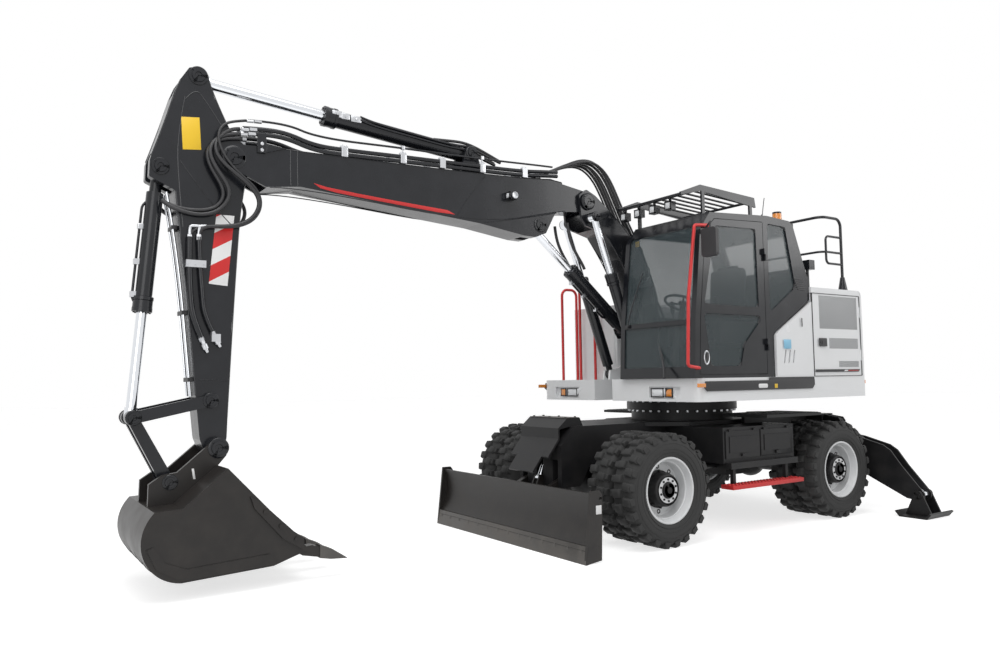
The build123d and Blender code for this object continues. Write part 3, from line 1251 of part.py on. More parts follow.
# Arm: outline along and across the line from the boom's nose to the bucket's pin
ARM_OUTLINE = (
    (-690, 300),
    (-660, 380),
    (-549, 441),
    (-438, 480),
    (-163, 542),
    (130, 620),
    (262, 618),
    (338, 426),
    (1076, 298),
    (ARM_LENGTH - 381, 173),
    (ARM_LENGTH - 60, 125),
    (ARM_LENGTH + 85, 60),
    (ARM_LENGTH + 85, -60),
    (ARM_LENGTH - 80, -78),
    (ARM_LENGTH - 942, -66),
    (599, -73),
    (249, -100),
    (60, -125),
    (-103, -110),
    (-207, 30),
    (-465, 178),
    (-640, 235),
)
ARM_EYE_CUT = ((-800, 100), (-420, 100), (-420, 600), (-800, 600))
BUCKET_CYL_CUT = ((60, 430), (420, 430), (420, 800), (60, 800))
IDLER_SIDE = 4
with BuildPart() as arm:
    side_plate(local(ARM_PIN, ARM_PITCH, ARM_OUTLINE), BOOM_Y, 2 * ARM_HALF, corner=20)
    # forks for the eyes of the arm cylinder and of the bucket cylinder
    eye_cut = local(ARM_PIN, ARM_PITCH, ARM_EYE_CUT)
    side_plate(eye_cut, BOOM_Y, 2 * (ARM_EYE_HALF + PIN_GAP), mode=Mode.SUBTRACT)
    base_cut = local(ARM_PIN, ARM_PITCH, BUCKET_CYL_CUT)
    side_plate(base_cut, BOOM_Y, 2 * (BUCKET_CYL_HALF + PIN_GAP), mode=Mode.SUBTRACT)
    fork_seat = ARM_HALF + SIDE_GAP - PIN_GAP
    cross_pin(ARM_PIN, (BOOM_Y - fork_seat, BOOM_Y + fork_seat), 95)
    cross_pin(BUCKET_PIN, (BOOM_Y - EAR_Y, BOOM_Y + EAR_Y), 75)
    cross_pin(IDLER_PIN, (BOOM_Y - ARM_HALF - IDLER_SIDE, BOOM_Y + ARM_HALF + IDLER_SIDE), 60)
arm.part.label = "arm"
export_step(arm.part, "parts/arm.step")

cylinder(
    "bucket_cylinder",
    BUCKET_CYL_BASE,
    LINK_PIN,
    (BOOM_Y,),
    (62, 38, 46, 0.58),
    (BUCKET_CYL_HALF, BUCKET_CYL_HALF, 190),
    (130, 700),
)

# Idler links beside the arm, and the bucket link in front of it
IDLER = 30
IDLER_IN = ARM_HALF + IDLER_SIDE + PIN_GAP
with BuildPart() as idler_links:
    idler_pitch = pitch_of(IDLER_PIN, LINK_PIN)
    idler_length = span(IDLER_PIN, LINK_PIN)
    outline = ((0, -45), (idler_length, -45), (idler_length, 45), (0, 45))
    for side in (-1, 1):
        y = BOOM_Y + side * (IDLER_IN + IDLER / 2)
        side_plate(local(IDLER_PIN, idler_pitch, outline), y, IDLER)
        cross_pin(IDLER_PIN, (y - IDLER / 2, y + IDLER / 2), 62)
        cross_pin(LINK_PIN, (y - IDLER / 2, y + IDLER / 2), 58)
idler_links.part.label = "idler_links"
export_step(idler_links.part, "parts/idler_links.step")

LINK_PLATE = 50
LINK_IN = BUCKET_CYL_HALF + PIN_GAP
with BuildPart() as bucket_link:
    link_pitch = pitch_of(LINK_PIN, BUCKET_LINK_PIN)
    link_length = span(LINK_PIN, BUCKET_LINK_PIN)
    outline = ((0, -40), (link_length, -48), (link_length, 48), (0, 40))
    web = ((170, -36), (link_length - 90, -36), (link_length - 90, 36), (170, 36))
    for side in (-1, 1):
        plate_y = BOOM_Y + side * (LINK_IN + LINK_PLATE / 2)
        side_plate(local(LINK_PIN, link_pitch, outline), plate_y, LINK_PLATE)
        for pin, reach, radius in ((LINK_PIN, IDLER_IN - PIN_GAP, 54), (BUCKET_LINK_PIN, EAR_Y, 58)):
            cross_pin(pin, (BOOM_Y + side * LINK_IN, BOOM_Y + side * reach), radius)
    side_plate(local(LINK_PIN, link_pitch, web), BOOM_Y, 2 * LINK_IN + LINK_PLATE)
bucket_link.part.label = "bucket_link"
export_step(bucket_link.part, "parts/bucket_link.step")

# Bucket: points from its pin (x, z), the back as lines and arcs, with side plates, ears and teeth
BX, BZ = BUCKET_PIN
with BuildPart() as bucket:
    with BuildSketch(Plane.XZ.offset(-(BOOM_Y + BUCKET_WIDTH / 2))) as shell:
        with BuildLine():
            Line((BX + 10, BZ - 130), (BX + 330, BZ - 395))
            Line((BX + 330, BZ - 395), (BX + 516, BZ - 403))
            ThreePointArc((BX + 516, BZ - 403), (BX + 590, BZ - 700), (BX + 330, BZ - 915))
            Line((BX + 330, BZ - 915), (BX - 330, BZ - 885))
            Line((BX - 330, BZ - 885), (BX - 600, BZ - 800))
            Line((BX - 600, BZ - 800), (BX - 586, BZ - 771))
            Line((BX - 586, BZ - 771), (BX + 10, BZ - 130))
        make_face()
    extrude(shell.sketch, amount=BUCKET_WIDTH)
    with BuildSketch(Plane.XZ.offset(-(BOOM_Y + BUCKET_WIDTH / 2 - BUCKET_WALL))) as hollow:
        with BuildLine():
            Line((BX - 60, BZ - 135), (BX + 335, BZ - 395 - BUCKET_WALL))
            Line((BX + 335, BZ - 395 - BUCKET_WALL), (BX + 500, BZ - 403 - BUCKET_WALL))
            ThreePointArc(
                (BX + 500, BZ - 403 - BUCKET_WALL),
                (BX + 590 - BUCKET_WALL, BZ - 695),
                (BX + 330, BZ - 915 + BUCKET_WALL),
            )
            Line((BX + 330, BZ - 915 + BUCKET_WALL), (BX - 325, BZ - 885 + BUCKET_WALL))
            Line((BX - 325, BZ - 885 + BUCKET_WALL), (BX - 760, BZ - 760))
            Line((BX - 760, BZ - 760), (BX - 60, BZ - 135))
        make_face()
    extrude(hollow.sketch, amount=BUCKET_WIDTH - 2 * BUCKET_WALL, mode=Mode.SUBTRACT)
    for side in (-1, 1):
        side_plate(
            (
                (BX - 70, BZ + 20),
                (BX, BZ + 78),
                (BX + 70, BZ + 30),
                (BX + 300, BZ - 165),
                (BX + 410, BZ - 180),
                (BX + 500, BZ - 240),
                (BX + 505, BZ - 405),
                (BX + 330, BZ - 410),
                (BX + 5, BZ - 135),
                (BX - 60, BZ - 60),
            ),
            BOOM_Y + side * (EAR_Y + PIN_GAP + EAR / 2),
            EAR,
        )
    for tooth in range(TOOTH_COUNT):
        y = BOOM_Y + (tooth - (TOOTH_COUNT - 1) / 2) * (BUCKET_WIDTH - 110) / (TOOTH_COUNT - 1)
        side_plate(
            (
                (BX - 560, BZ - 840),
                (BX - 480, BZ - 780),
                (BX - 640, BZ - 770),
                (BX - 800, BZ - 830),
                (BX - 927, BZ - 904),
                (BX - 790, BZ - 890),
            ),
            y,
            80,
        )
bucket.part.label = "bucket"
export_step(bucket.part, "parts/bucket.step")
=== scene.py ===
import json
from math import cos, pi, radians, sin

import bmesh
import bpy
from bpy.props import FloatProperty, FloatVectorProperty, IntProperty, PointerProperty
from mathutils import Matrix, Vector


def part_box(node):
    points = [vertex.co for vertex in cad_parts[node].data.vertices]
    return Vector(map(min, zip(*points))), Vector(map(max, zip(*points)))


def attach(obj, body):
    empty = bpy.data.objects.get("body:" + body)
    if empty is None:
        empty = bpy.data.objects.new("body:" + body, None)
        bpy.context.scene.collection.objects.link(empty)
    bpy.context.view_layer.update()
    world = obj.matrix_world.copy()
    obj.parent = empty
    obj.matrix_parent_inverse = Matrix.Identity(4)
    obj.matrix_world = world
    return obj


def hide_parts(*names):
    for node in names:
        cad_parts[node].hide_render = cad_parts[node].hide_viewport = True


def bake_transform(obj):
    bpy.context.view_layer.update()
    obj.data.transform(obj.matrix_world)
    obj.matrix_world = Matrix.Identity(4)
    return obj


bl_info = {
    "name": "Wheeled excavator finish",
    "version": (1, 0, 0),
    "blender": (4, 5, 0),
    "location": "View3D > Sidebar > Excavator",
    "description": "Dresses the solids of a wheeled excavator with paint, glass, rubber, hoses, "
                   "lamps and plates",
    "category": "Object",
}

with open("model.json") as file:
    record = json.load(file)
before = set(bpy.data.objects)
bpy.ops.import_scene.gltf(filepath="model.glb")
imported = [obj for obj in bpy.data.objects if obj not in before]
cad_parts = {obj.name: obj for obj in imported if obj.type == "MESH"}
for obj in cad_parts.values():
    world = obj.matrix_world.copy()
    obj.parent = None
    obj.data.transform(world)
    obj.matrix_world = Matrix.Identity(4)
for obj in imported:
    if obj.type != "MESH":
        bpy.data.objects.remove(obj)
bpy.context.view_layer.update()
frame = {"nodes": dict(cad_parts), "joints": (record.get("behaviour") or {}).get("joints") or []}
CAD_NODES = frame["nodes"]
PIVOT = {joint["name"]: Vector(joint["pos_m"]) for joint in frame["joints"] if "pos_m" in joint}
FRONT_AXLE_X = PIVOT["wheel_front_left"].x
BOOM_FOOT = PIVOT["boom_lift"]
KNUCKLE_PIN = PIVOT["boom_adjust"]
ARM_PIN = PIVOT["arm_swing"]
BUCKET_PIN = PIVOT["bucket_curl"]
BOOM_Y = BOOM_FOOT.y
SIDE_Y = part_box("engine_door_left")[1].y
BOOM_HALF = 0.150
ARM_HALF = 0.120
TAIL_RADIUS = 2.05
CAB_SIDE_Y = 1.220
BUCKET_WIDTH = 1.050
DUST_COLOUR = (0.25, 0.22, 0.19)
# The photograph's camera: its place from the front axle, then yaw, pitch and roll in degrees
CAMERA_FROM_AXLE = (5.300, 6.436, 1.536)
CAMERA_TURN = (236.324, 3.714, -0.877)
CORNERS = ("front_left", "front_right", "rear_left", "rear_right")
SIDES = (("left", 1), ("right", -1))


# Node helpers

def add_node(tree, kind, **values):
    """A shader node with its settings and its unlinked inputs' values."""
    node = tree.nodes.new(kind)
    for key, value in values.items():
        if key in node.inputs:
            node.inputs[key].default_value = value
        else:
            setattr(node, key, value)
    return node


def new_group(name, inputs, outputs):
    """An empty shader node group with named inputs (name, kind, default) and outputs (name, kind)."""
    group = bpy.data.node_groups.new(name, "ShaderNodeTree")
    for label, kind, default in inputs:
        socket = group.interface.new_socket(name=label, in_out="INPUT", socket_type=kind)
        socket.default_value = default
    for label, kind in outputs:
        group.interface.new_socket(name=label, in_out="OUTPUT", socket_type=kind)
    return group, group.nodes.new("NodeGroupInput"), group.nodes.new("NodeGroupOutput")


def dust_group():
    """Dust film: a cloudy mask that is strongest low on the machine."""
    group, given, result = new_group(
        "dust_film",
        [("Amount", "NodeSocketFloat", 0.3), ("Scale", "NodeSocketFloat", 6.0),
         ("Low Height", "NodeSocketFloat", 0.9)],
        [("Mask", "NodeSocketFloat")],
    )
    place = add_node(group, "ShaderNodeTexCoord")
    cloud = add_node(group, "ShaderNodeTexNoise", Detail=6.0, Roughness=0.6)
    group.links.new(place.outputs["Object"], cloud.inputs["Vector"])
    group.links.new(given.outputs["Scale"], cloud.inputs["Scale"])
    spread = add_node(group, "ShaderNodeMapRange", **{"From Min": 0.42, "From Max": 0.75})
    group.links.new(cloud.outputs["Fac"], spread.inputs["Value"])
    height = add_node(group, "ShaderNodeSeparateXYZ")
    group.links.new(place.outputs["Object"], height.inputs["Vector"])
    low = add_node(group, "ShaderNodeMapRange", **{"From Min": 0.0, "To Min": 1.0, "To Max": 0.25})
    group.links.new(height.outputs["Z"], low.inputs["Value"])
    group.links.new(given.outputs["Low Height"], low.inputs["From Max"])
    both = add_node(group, "ShaderNodeMath", operation="MULTIPLY")
    group.links.new(spread.outputs["Result"], both.inputs[0])
    group.links.new(low.outputs["Result"], both.inputs[1])
    scaled = add_node(group, "ShaderNodeMath", operation="MULTIPLY")
    group.links.new(both.outputs["Value"], scaled.inputs[0])
    group.links.new(given.outputs["Amount"], scaled.inputs[1])
    group.links.new(scaled.outputs["Value"], result.inputs["Mask"])
    return group


def grain_group():
    """Surface grain: a height of fine noise over a slow wave, for paint, cast and moulded skins."""
    group, given, result = new_group(
        "surface_grain",
        [("Fine Scale", "NodeSocketFloat", 400.0), ("Wave Scale", "NodeSocketFloat", 7.0),
         ("Wave Share", "NodeSocketFloat", 0.4)],
        [("Height", "NodeSocketFloat"), ("Tone", "NodeSocketFloat")],
    )
    place = add_node(group, "ShaderNodeTexCoord")
    fine = add_node(group, "ShaderNodeTexNoise", Detail=3.0)
    wave = add_node(group, "ShaderNodeTexNoise", Detail=2.0)
    for noise, label in ((fine, "Fine Scale"), (wave, "Wave Scale")):
        group.links.new(place.outputs["Object"], noise.inputs["Vector"])
        group.links.new(given.outputs[label], noise.inputs["Scale"])
    mix = add_node(group, "ShaderNodeMix", data_type="FLOAT")
    group.links.new(given.outputs["Wave Share"], mix.inputs[0])
    group.links.new(fine.outputs["Fac"], mix.inputs[2])
    group.links.new(wave.outputs["Fac"], mix.inputs[3])
    group.links.new(mix.outputs[0], result.inputs["Height"])
    group.links.new(wave.outputs["Fac"], result.inputs["Tone"])
    return group


def new_material(name):
    """A material with nodes, its tree and its shader."""
    made = bpy.data.materials.new(name)
    made.use_nodes = True
    return made, made.node_tree, made.node_tree.nodes["Principled BSDF"]


def placed_group(tree, name, **values):
    """A shared node group placed in a material with its own values."""
    node = tree.nodes.new("ShaderNodeGroup")
    node.node_tree = bpy.data.node_groups[name]
    for key, value in values.items():
        node.inputs[key.replace("_", " ").title()].default_value = value
    return node


def coated(name, colour, roughness, metallic=0.0, coat=0.0, dust=0.2, grain=0.0002, fine=400.0,
           spread=0.06, tone=0.25, sheen=0.0, specular=0.5):
    """A painted, moulded or rubber skin: colour with slow tone changes, dust and grain."""
    made, tree, skin = new_material(name)
    for label, value in (("Metallic", metallic), ("Coat Weight", coat), ("Coat Roughness", 0.06),
                         ("Sheen Weight", sheen), ("Specular IOR Level", specular)):
        skin.inputs[label].default_value = value
    grains = placed_group(tree, "surface_grain", fine_scale=fine, wave_scale=5.0, wave_share=0.35)
    film = placed_group(tree, "dust_film", amount=dust, scale=5.0, low_height=1.1)
    darker = add_node(tree, "ShaderNodeMix", data_type="RGBA")
    darker.inputs[6].default_value = (*[c * (1 - tone) for c in colour], 1.0)
    darker.inputs[7].default_value = (*[min(c * (1 + tone), 1.0) for c in colour], 1.0)
    tree.links.new(grains.outputs["Tone"], darker.inputs[0])
    dusty = add_node(tree, "ShaderNodeMix", data_type="RGBA")
    dusty.inputs[7].default_value = (*DUST_COLOUR, 1.0)
    tree.links.new(film.outputs["Mask"], dusty.inputs[0])
    tree.links.new(darker.outputs[2], dusty.inputs[6])
    tree.links.new(dusty.outputs[2], skin.inputs["Base Color"])
    rough = add_node(tree, "ShaderNodeMapRange")
    rough.inputs["To Min"].default_value = max(roughness - spread, 0.02)
    rough.inputs["To Max"].default_value = min(roughness + spread, 1.0)
    tree.links.new(grains.outputs["Tone"], rough.inputs["Value"])
    duller = add_node(tree, "ShaderNodeMath", operation="ADD", use_clamp=True)
    tree.links.new(rough.outputs["Result"], duller.inputs[0])
    tree.links.new(film.outputs["Mask"], duller.inputs[1])
    tree.links.new(duller.outputs["Value"], skin.inputs["Roughness"])
    bump = add_node(tree, "ShaderNodeBump", Strength=1.0, Distance=grain)
    tree.links.new(grains.outputs["Height"], bump.inputs["Height"])
    tree.links.new(bump.outputs["Normal"], skin.inputs["Normal"])
    return made


def pane(name, tint, roughness=0.02):
    """Tinted window glass."""
    made, _, skin = new_material(name)
    for label, value in (("Base Color", (*tint, 1.0)), ("Roughness", roughness), ("IOR", 1.45),
                         ("Transmission Weight", 1.0)):
        skin.inputs[label].default_value = value
    return made


def striped(name, pale, strong, rise, slope):
    """A sign's slanted stripes: how far each pair of stripes rises, and how steeply."""
    made = coated(name, pale, 0.35, dust=0.02, tone=0.02)
    tree = made.node_tree
    place = add_node(tree, "ShaderNodeTexCoord")
    parts = add_node(tree, "ShaderNodeSeparateXYZ")
    tree.links.new(place.outputs["Object"], parts.inputs["Vector"])
    lean = add_node(tree, "ShaderNodeMath", operation="MULTIPLY_ADD")
    lean.inputs[1].default_value = slope
    tree.links.new(parts.outputs["X"], lean.inputs[0])
    tree.links.new(parts.outputs["Z"], lean.inputs[2])
    share = add_node(tree, "ShaderNodeMath", operation="DIVIDE")
    share.inputs[1].default_value = rise
    tree.links.new(lean.outputs[0], share.inputs[0])
    part = add_node(tree, "ShaderNodeMath", operation="FRACT")
    tree.links.new(share.outputs[0], part.inputs[0])
    mask = add_node(tree, "ShaderNodeMath", operation="GREATER_THAN")
    mask.inputs[1].default_value = 0.5
    tree.links.new(part.outputs[0], mask.inputs[0])
    lay_over(tree, mask.outputs[0], strong)
    return made


def lay_over(tree, mask, colour):
    """A second colour where a mask is 1, laid over what feeds the shader's colour."""
    skin = tree.nodes["Principled BSDF"]
    under = skin.inputs["Base Color"].links[0].from_socket
    over = add_node(tree, "ShaderNodeMix", data_type="RGBA")
    over.inputs[7].default_value = (*colour, 1.0)
    tree.links.new(mask, over.inputs[0])
    tree.links.new(under, over.inputs[6])
    tree.links.new(over.outputs[2], skin.inputs["Base Color"])


def hole_shade_dotted(name, sheet, hole_shade, pitch):
    """A sheet with rows of round holes, seen from its side; the holes are dark dots of painted shade, not
    openings.
    """
    made = coated(name, sheet, 0.45, dust=0.05, tone=0.05)
    tree = made.node_tree
    place = add_node(tree, "ShaderNodeTexCoord")
    parts = add_node(tree, "ShaderNodeSeparateXYZ")
    tree.links.new(place.outputs["Object"], parts.inputs["Vector"])
    waves = []
    for axis in ("X", "Z"):
        turn = add_node(tree, "ShaderNodeMath", operation="MULTIPLY")
        turn.inputs[1].default_value = 2 * pi / pitch
        tree.links.new(parts.outputs[axis], turn.inputs[0])
        wave = add_node(tree, "ShaderNodeMath", operation="SINE")
        tree.links.new(turn.outputs[0], wave.inputs[0])
        waves.append(wave)
    both = add_node(tree, "ShaderNodeMath", operation="MULTIPLY")
    tree.links.new(waves[0].outputs[0], both.inputs[0])
    tree.links.new(waves[1].outputs[0], both.inputs[1])
    # The mask marks the dots of painted shade that stand in for the holes.
    mask = add_node(tree, "ShaderNodeMath", operation="GREATER_THAN")
    mask.inputs[1].default_value = 0.25
    tree.links.new(both.outputs[0], mask.inputs[0])
    lay_over(tree, mask.outputs[0], hole_shade)
    return made


def make_materials(colours):
    """Every finish of the machine, by name."""
    dust_group()
    grain_group()
    black = tuple(colours.gloss_black)
    frame_black = tuple(colours.frame_black)
    white = tuple(colours.body_white)
    coated("gloss_black_paint", black, 0.24, coat=0.1, dust=0.03, grain=0.00006, fine=160.0, specular=0.35)
    coated("frame_black_paint", frame_black, 0.42, dust=0.06, grain=0.0001, fine=220.0, specular=0.25)
    coated("tool_black_paint", tuple(colours.tool_black), 0.38, dust=0.05, grain=0.00015, fine=120.0,
           specular=0.35)
    coated("body_white_paint", white, 0.24, coat=0.6, dust=0.02, grain=0.00005, fine=160.0, tone=0.03)
    coated("rim_white_paint", tuple(colours.rim_white), 0.35, coat=0.3, dust=0.15, tone=0.05)
    coated("red_paint", tuple(colours.accent_red), 0.3, coat=0.4, dust=0.03, tone=0.1)
    coated("yellow_plate", (0.78, 0.50, 0.02), 0.35, dust=0.02, tone=0.04)
    coated("tread_rubber", (0.016, 0.016, 0.017), 0.7, dust=0.12, grain=0.0008, fine=90.0, spread=0.1,
           specular=0.3)
    coated("hose_rubber", (0.016, 0.016, 0.018), 0.45, dust=0.05, grain=0.0002, fine=500.0)
    coated("moulded_black", (0.02, 0.02, 0.022), 0.5, dust=0.05, grain=0.0003, fine=700.0)
    coated("seat_cloth", (0.025, 0.026, 0.03), 0.9, dust=0.0, grain=0.0008, fine=900.0, sheen=0.3)
    coated("engine_iron", (0.07, 0.07, 0.075), 0.6, metallic=0.4, dust=0.3, grain=0.001, fine=60.0)
    coated("rod_chrome", (0.75, 0.77, 0.80), 0.1, metallic=1.0, dust=0.0, grain=0.00001, fine=900.0,
           spread=0.04, tone=0.03)
    coated("fitting_steel", (0.55, 0.56, 0.58), 0.3, metallic=0.9, dust=0.05, grain=0.0001, tone=0.1)
    coated("edge_steel", (0.10, 0.095, 0.09), 0.45, metallic=0.7, dust=0.2, grain=0.0005, fine=80.0)
    coated("amber_lens", (0.85, 0.28, 0.02), 0.15, coat=0.8, dust=0.0, tone=0.1)
    coated("lamp_lens", (0.80, 0.82, 0.84), 0.1, coat=1.0, dust=0.0, tone=0.1)
    coated("sign_white", (0.80, 0.80, 0.80), 0.35, dust=0.02, tone=0.02)
    coated("sign_blue", (0.25, 0.55, 0.75), 0.35, dust=0.02, tone=0.04)
    coated("sign_dark_red", (0.30, 0.02, 0.02), 0.35, dust=0.02, tone=0.04)
    coated("glass_mirror", (0.80, 0.82, 0.84), 0.04, metallic=1.0, dust=0.0, grain=0.00001, tone=0.02)
    coated("red_lens", (0.55, 0.02, 0.02), 0.12, coat=0.8, dust=0.0, tone=0.1)
    striped("hazard_stripes", (0.80, 0.80, 0.80), tuple(colours.hazard_red), 0.246, 0.58)
    # The sheet's dark dots are painted shade standing in for its holes.
    hole_shade_dotted("sheet_with_hole_shade", (0.50, 0.51, 0.52), (0.03, 0.03, 0.03), 0.012)
    pane("window_glass", tuple(colours.glass_tint))


# Which finish each CAD node gets: start of the node's name, finish
NODE_FINISH = (
    ("tyre_", "tread_rubber"),
    ("rim_", "rim_white_paint"),
    ("cab_glass", "window_glass"),
    ("door_glass", "window_glass"),
    ("seat", "seat_cloth"),
    ("engine_house", "body_white_paint"),
    ("engine_door", "body_white_paint"),
    ("engine", "engine_iron"),
    ("counterweight", "body_white_paint"),
    ("right_box", "body_white_paint"),
    ("upper_deck", "body_white_paint"),
    ("ladder_rails", "red_paint"),
    ("cab_handrail", "red_paint"),
    ("mirror", "moulded_black"),
    ("bucket_cylinder_rod", "rod_chrome"),
    ("arm_cylinder_rod", "rod_chrome"),
    ("adjust_cylinder_rod", "rod_chrome"),
    ("lift_cylinder_rod", "rod_chrome"),
    ("blade_cylinder_rod", "rod_chrome"),
    ("outrigger_cylinder_left_rod", "rod_chrome"),
    ("outrigger_cylinder_right_rod", "rod_chrome"),
    ("bucket_cylinder", "gloss_black_paint"),
    ("bucket_link", "gloss_black_paint"),
    ("bucket", "tool_black_paint"),
    ("blade_cylinder", "frame_black_paint"),
    ("blade", "tool_black_paint"),
    ("undercarriage_frame", "frame_black_paint"),
    ("front_axle", "frame_black_paint"),
    ("rear_axle", "frame_black_paint"),
    ("knuckle", "frame_black_paint"),
    ("drivetrain", "frame_black_paint"),
    ("side_box", "frame_black_paint"),
    ("slew_ring", "frame_black_paint"),
    ("outrigger", "frame_black_paint"),
    ("pad", "frame_black_paint"),
    ("", "gloss_black_paint"),
)


def finish_of(node):
    return next(finish for start, finish in NODE_FINISH if node.startswith(start))


# Mesh helpers

def added(bm, start):
    """What was added to a bmesh since it had this many vertices."""
    bm.verts.ensure_lookup_table()
    verts = bm.verts[start:]
    edges = dict.fromkeys(edge for vert in verts for edge in vert.link_edges)
    faces = dict.fromkeys(face for vert in verts for face in vert.link_faces)
    return verts, list(edges), list(faces)


def soften(bm, edges, width, segments=2):
    bmesh.ops.bevel(bm, geom=edges, offset=width, segments=segments, profile=0.5, affect="EDGES", material=-1,
                    clamp_overlap=True)


def block(bm, low, high, edge=0.004):
    """A box between two corners, with its edges rounded."""
    start = len(bm.verts)
    low, high = Vector(low), Vector(high)
    size = high - low
    place = Matrix.Translation((low + high) / 2) @ Matrix.Diagonal((abs(size.x), abs(size.y), abs(size.z), 1))
    bmesh.ops.create_cube(bm, size=1.0, matrix=place)
    soften(bm, added(bm, start)[1], edge)


def lump(bm, centre, reach, edge):
    """A rounded box round its centre, which reaches this far each way."""
    reach = Vector(reach)
    block(bm, centre - reach, centre + reach, edge)


def bar(bm, start, end, radius, end_radius=None, segments=24, edge=0.0):
    """A round or six-sided bar between two points, or a cone with another end radius."""
    first = len(bm.verts)
    start, end = Vector(start), Vector(end)
    run = end - start
    turn = run.to_track_quat("Z", "Y").to_matrix().to_4x4()
    bmesh.ops.create_cone(
        bm, cap_ends=True, segments=segments, radius1=radius, depth=run.length,
        radius2=radius if end_radius is None else end_radius,
        matrix=Matrix.Translation((start + end) / 2) @ turn,
    )
    if edge:
        soften(bm, [e for e in added(bm, first)[1] if abs((e.verts[0].co - e.verts[1].co).dot(run)) < 1e-9],
               edge)


def plate(bm, outline, y, thickness, edge=0.0):
    """A plate of an (x, z) outline that stands on y and is this thick towards +Y, or -Y if negative."""
    start = len(bm.verts)
    face = bm.faces.new([bm.verts.new((x, y, z)) for x, z in outline])
    grown = bmesh.ops.extrude_face_region(bm, geom=[face])["geom"]
    bmesh.ops.translate(bm, vec=(0, thickness, 0),
                        verts=[v for v in grown if isinstance(v, bmesh.types.BMVert)])
    if edge:
        soften(bm, added(bm, start)[1], edge)


def lathe(bm, profile, centre, axis, steps=48, closed=False):
    """A turned form: its profile of (distance along the axis, radius) spun round the axis."""
    start = len(bm.verts)
    centre, axis = Vector(centre), Vector(axis).normalized()
    side = axis.orthogonal().normalized()
    verts = [bm.verts.new(centre + axis * along + side * radius) for along, radius in profile]
    pairs = list(zip(verts, verts[1:]))
    if closed:
        pairs.append((verts[-1], verts[0]))
    edges = [bm.edges.new(pair) for pair in pairs]
    bmesh.ops.spin(bm, geom=verts + edges, cent=centre, axis=axis, angle=2 * pi, steps=steps, use_merge=True)
    bmesh.ops.remove_doubles(bm, verts=added(bm, start)[0], dist=0.00001)


def repeat_round(bm, start, centre, axis, count):
    """Copies what was added since start round an axis, evenly."""
    verts, edges, faces = added(bm, start)
    bmesh.ops.spin(bm, geom=verts + edges + faces, cent=centre, axis=axis, angle=2 * pi * (count - 1) / count,
                   steps=count - 1, use_duplicate=True)


def hose(bm, points, radius, order=4, steps=8, sides=3):
    """A hose, pipe or bead of weld along a smooth line near these points."""
    line = bpy.data.curves.new("line", "CURVE")
    line.dimensions = "3D"
    line.bevel_depth = radius
    line.bevel_resolution = sides
    line.resolution_u = steps
    line.use_fill_caps = True
    spline = line.splines.new("NURBS")
    spline.points.add(len(points) - 1)
    for point, place in zip(spline.points, points):
        point.co = (*place, 1.0)
    spline.order_u = min(order, len(points))
    spline.use_endpoint_u = True
    holder = bpy.data.objects.new("line", line)
    mesh = bpy.data.meshes.new_from_object(holder)
    bm.from_mesh(mesh)
    bpy.data.objects.remove(holder)
    bpy.data.curves.remove(line)
    bpy.data.meshes.remove(mesh)


def straight(bm, start, end, radius, sides=3):
    """A straight bead or tube."""
    hose(bm, (start, end), radius, order=2, steps=1, sides=sides)


def outline_at(outline, x=FRONT_AXLE_X, z=0.0):
    """An (x, z) outline moved to where it belongs: from the front axle and the ground, or from a pin."""
    return [(x + along, z + up) for along, up in outline]


def in_middle(point):
    """The same point in the boom's middle plane."""
    return Vector((point.x, BOOM_Y, point.z))


def on_link(start, end, along, across, y):
    """A point along and across the line from one pin to the next, at this y."""
    run = (end - start).normalized()
    return Vector((start.x + along * run.x - across * run.z, y, start.z + along * run.z + across * run.x))


def on_base_boom(along, across, y=BOOM_Y):
    return on_link(BOOM_FOOT, KNUCKLE_PIN, along, across, y)


def on_front_boom(along, across, y=BOOM_Y):
    return on_link(KNUCKLE_PIN, ARM_PIN, along, across, y)


def on_arm(along, across, y=BOOM_Y):
    return on_link(ARM_PIN, BUCKET_PIN, along, across, y)


def settle(bm, name, body, finish, smooth=40):
    """Turns a bmesh into a piece that rides on a body; faces smooth up to an angle."""
    bmesh.ops.recalc_face_normals(bm, faces=bm.faces)
    mesh = bpy.data.meshes.new(name)
    bm.to_mesh(mesh)
    bm.free()
    piece = bpy.data.objects.new(name, mesh)
    bpy.context.scene.collection.objects.link(piece)
    mesh.materials.append(bpy.data.materials[finish])
    mesh.shade_smooth()
    mesh.set_sharp_from_angle(angle=radians(smooth))
    if body:
        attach(piece, body)
    return piece


# Settings

def paint(name, description, default):
    return FloatVectorProperty(name=name, description=description, subtype="COLOR", default=default)


def amount(name, description, default, unit="LENGTH"):
    return FloatProperty(name=name, description=description, default=default, unit=unit)


class ExcavatorStageSettings(bpy.types.PropertyGroup):
    """Camera, lamps and floor"""
    lens: FloatProperty(name="Lens", description="Focal length of the camera", default=28.63, min=10,
                        unit="CAMERA")
    key_power: amount("Key power", "Power of the main lamp above", 560.0, "POWER")
    fill_power: amount("Fill power", "Power of the lamp beside the camera", 160.0, "POWER")
    world_level: amount("World level", "Strength of the even light around", 0.42, "NONE")


class ExcavatorColours(bpy.types.PropertyGroup):
    """Colours of the machine's paints"""
    gloss_black: paint("Gloss black", "Boom, arm and cab", (0.010, 0.011, 0.014))
    frame_black: paint("Frame black", "Undercarriage and axles", (0.011, 0.011, 0.012))
    tool_black: paint("Tool black", "Bucket and blade", (0.016, 0.014, 0.013))
    body_white: paint("Body white", "Engine house, tail and deck", (0.80, 0.81, 0.82))
    rim_white: paint("Rim white", "Wheel rims", (0.76, 0.77, 0.78))
    accent_red: paint("Accent red", "Rails and steps", (0.45, 0.015, 0.02))
    hazard_red: paint("Hazard red", "Stripes of the arm's sign", (0.60, 0.02, 0.02))
    glass_tint: paint("Glass tint", "Window glass", (0.62, 0.68, 0.70))


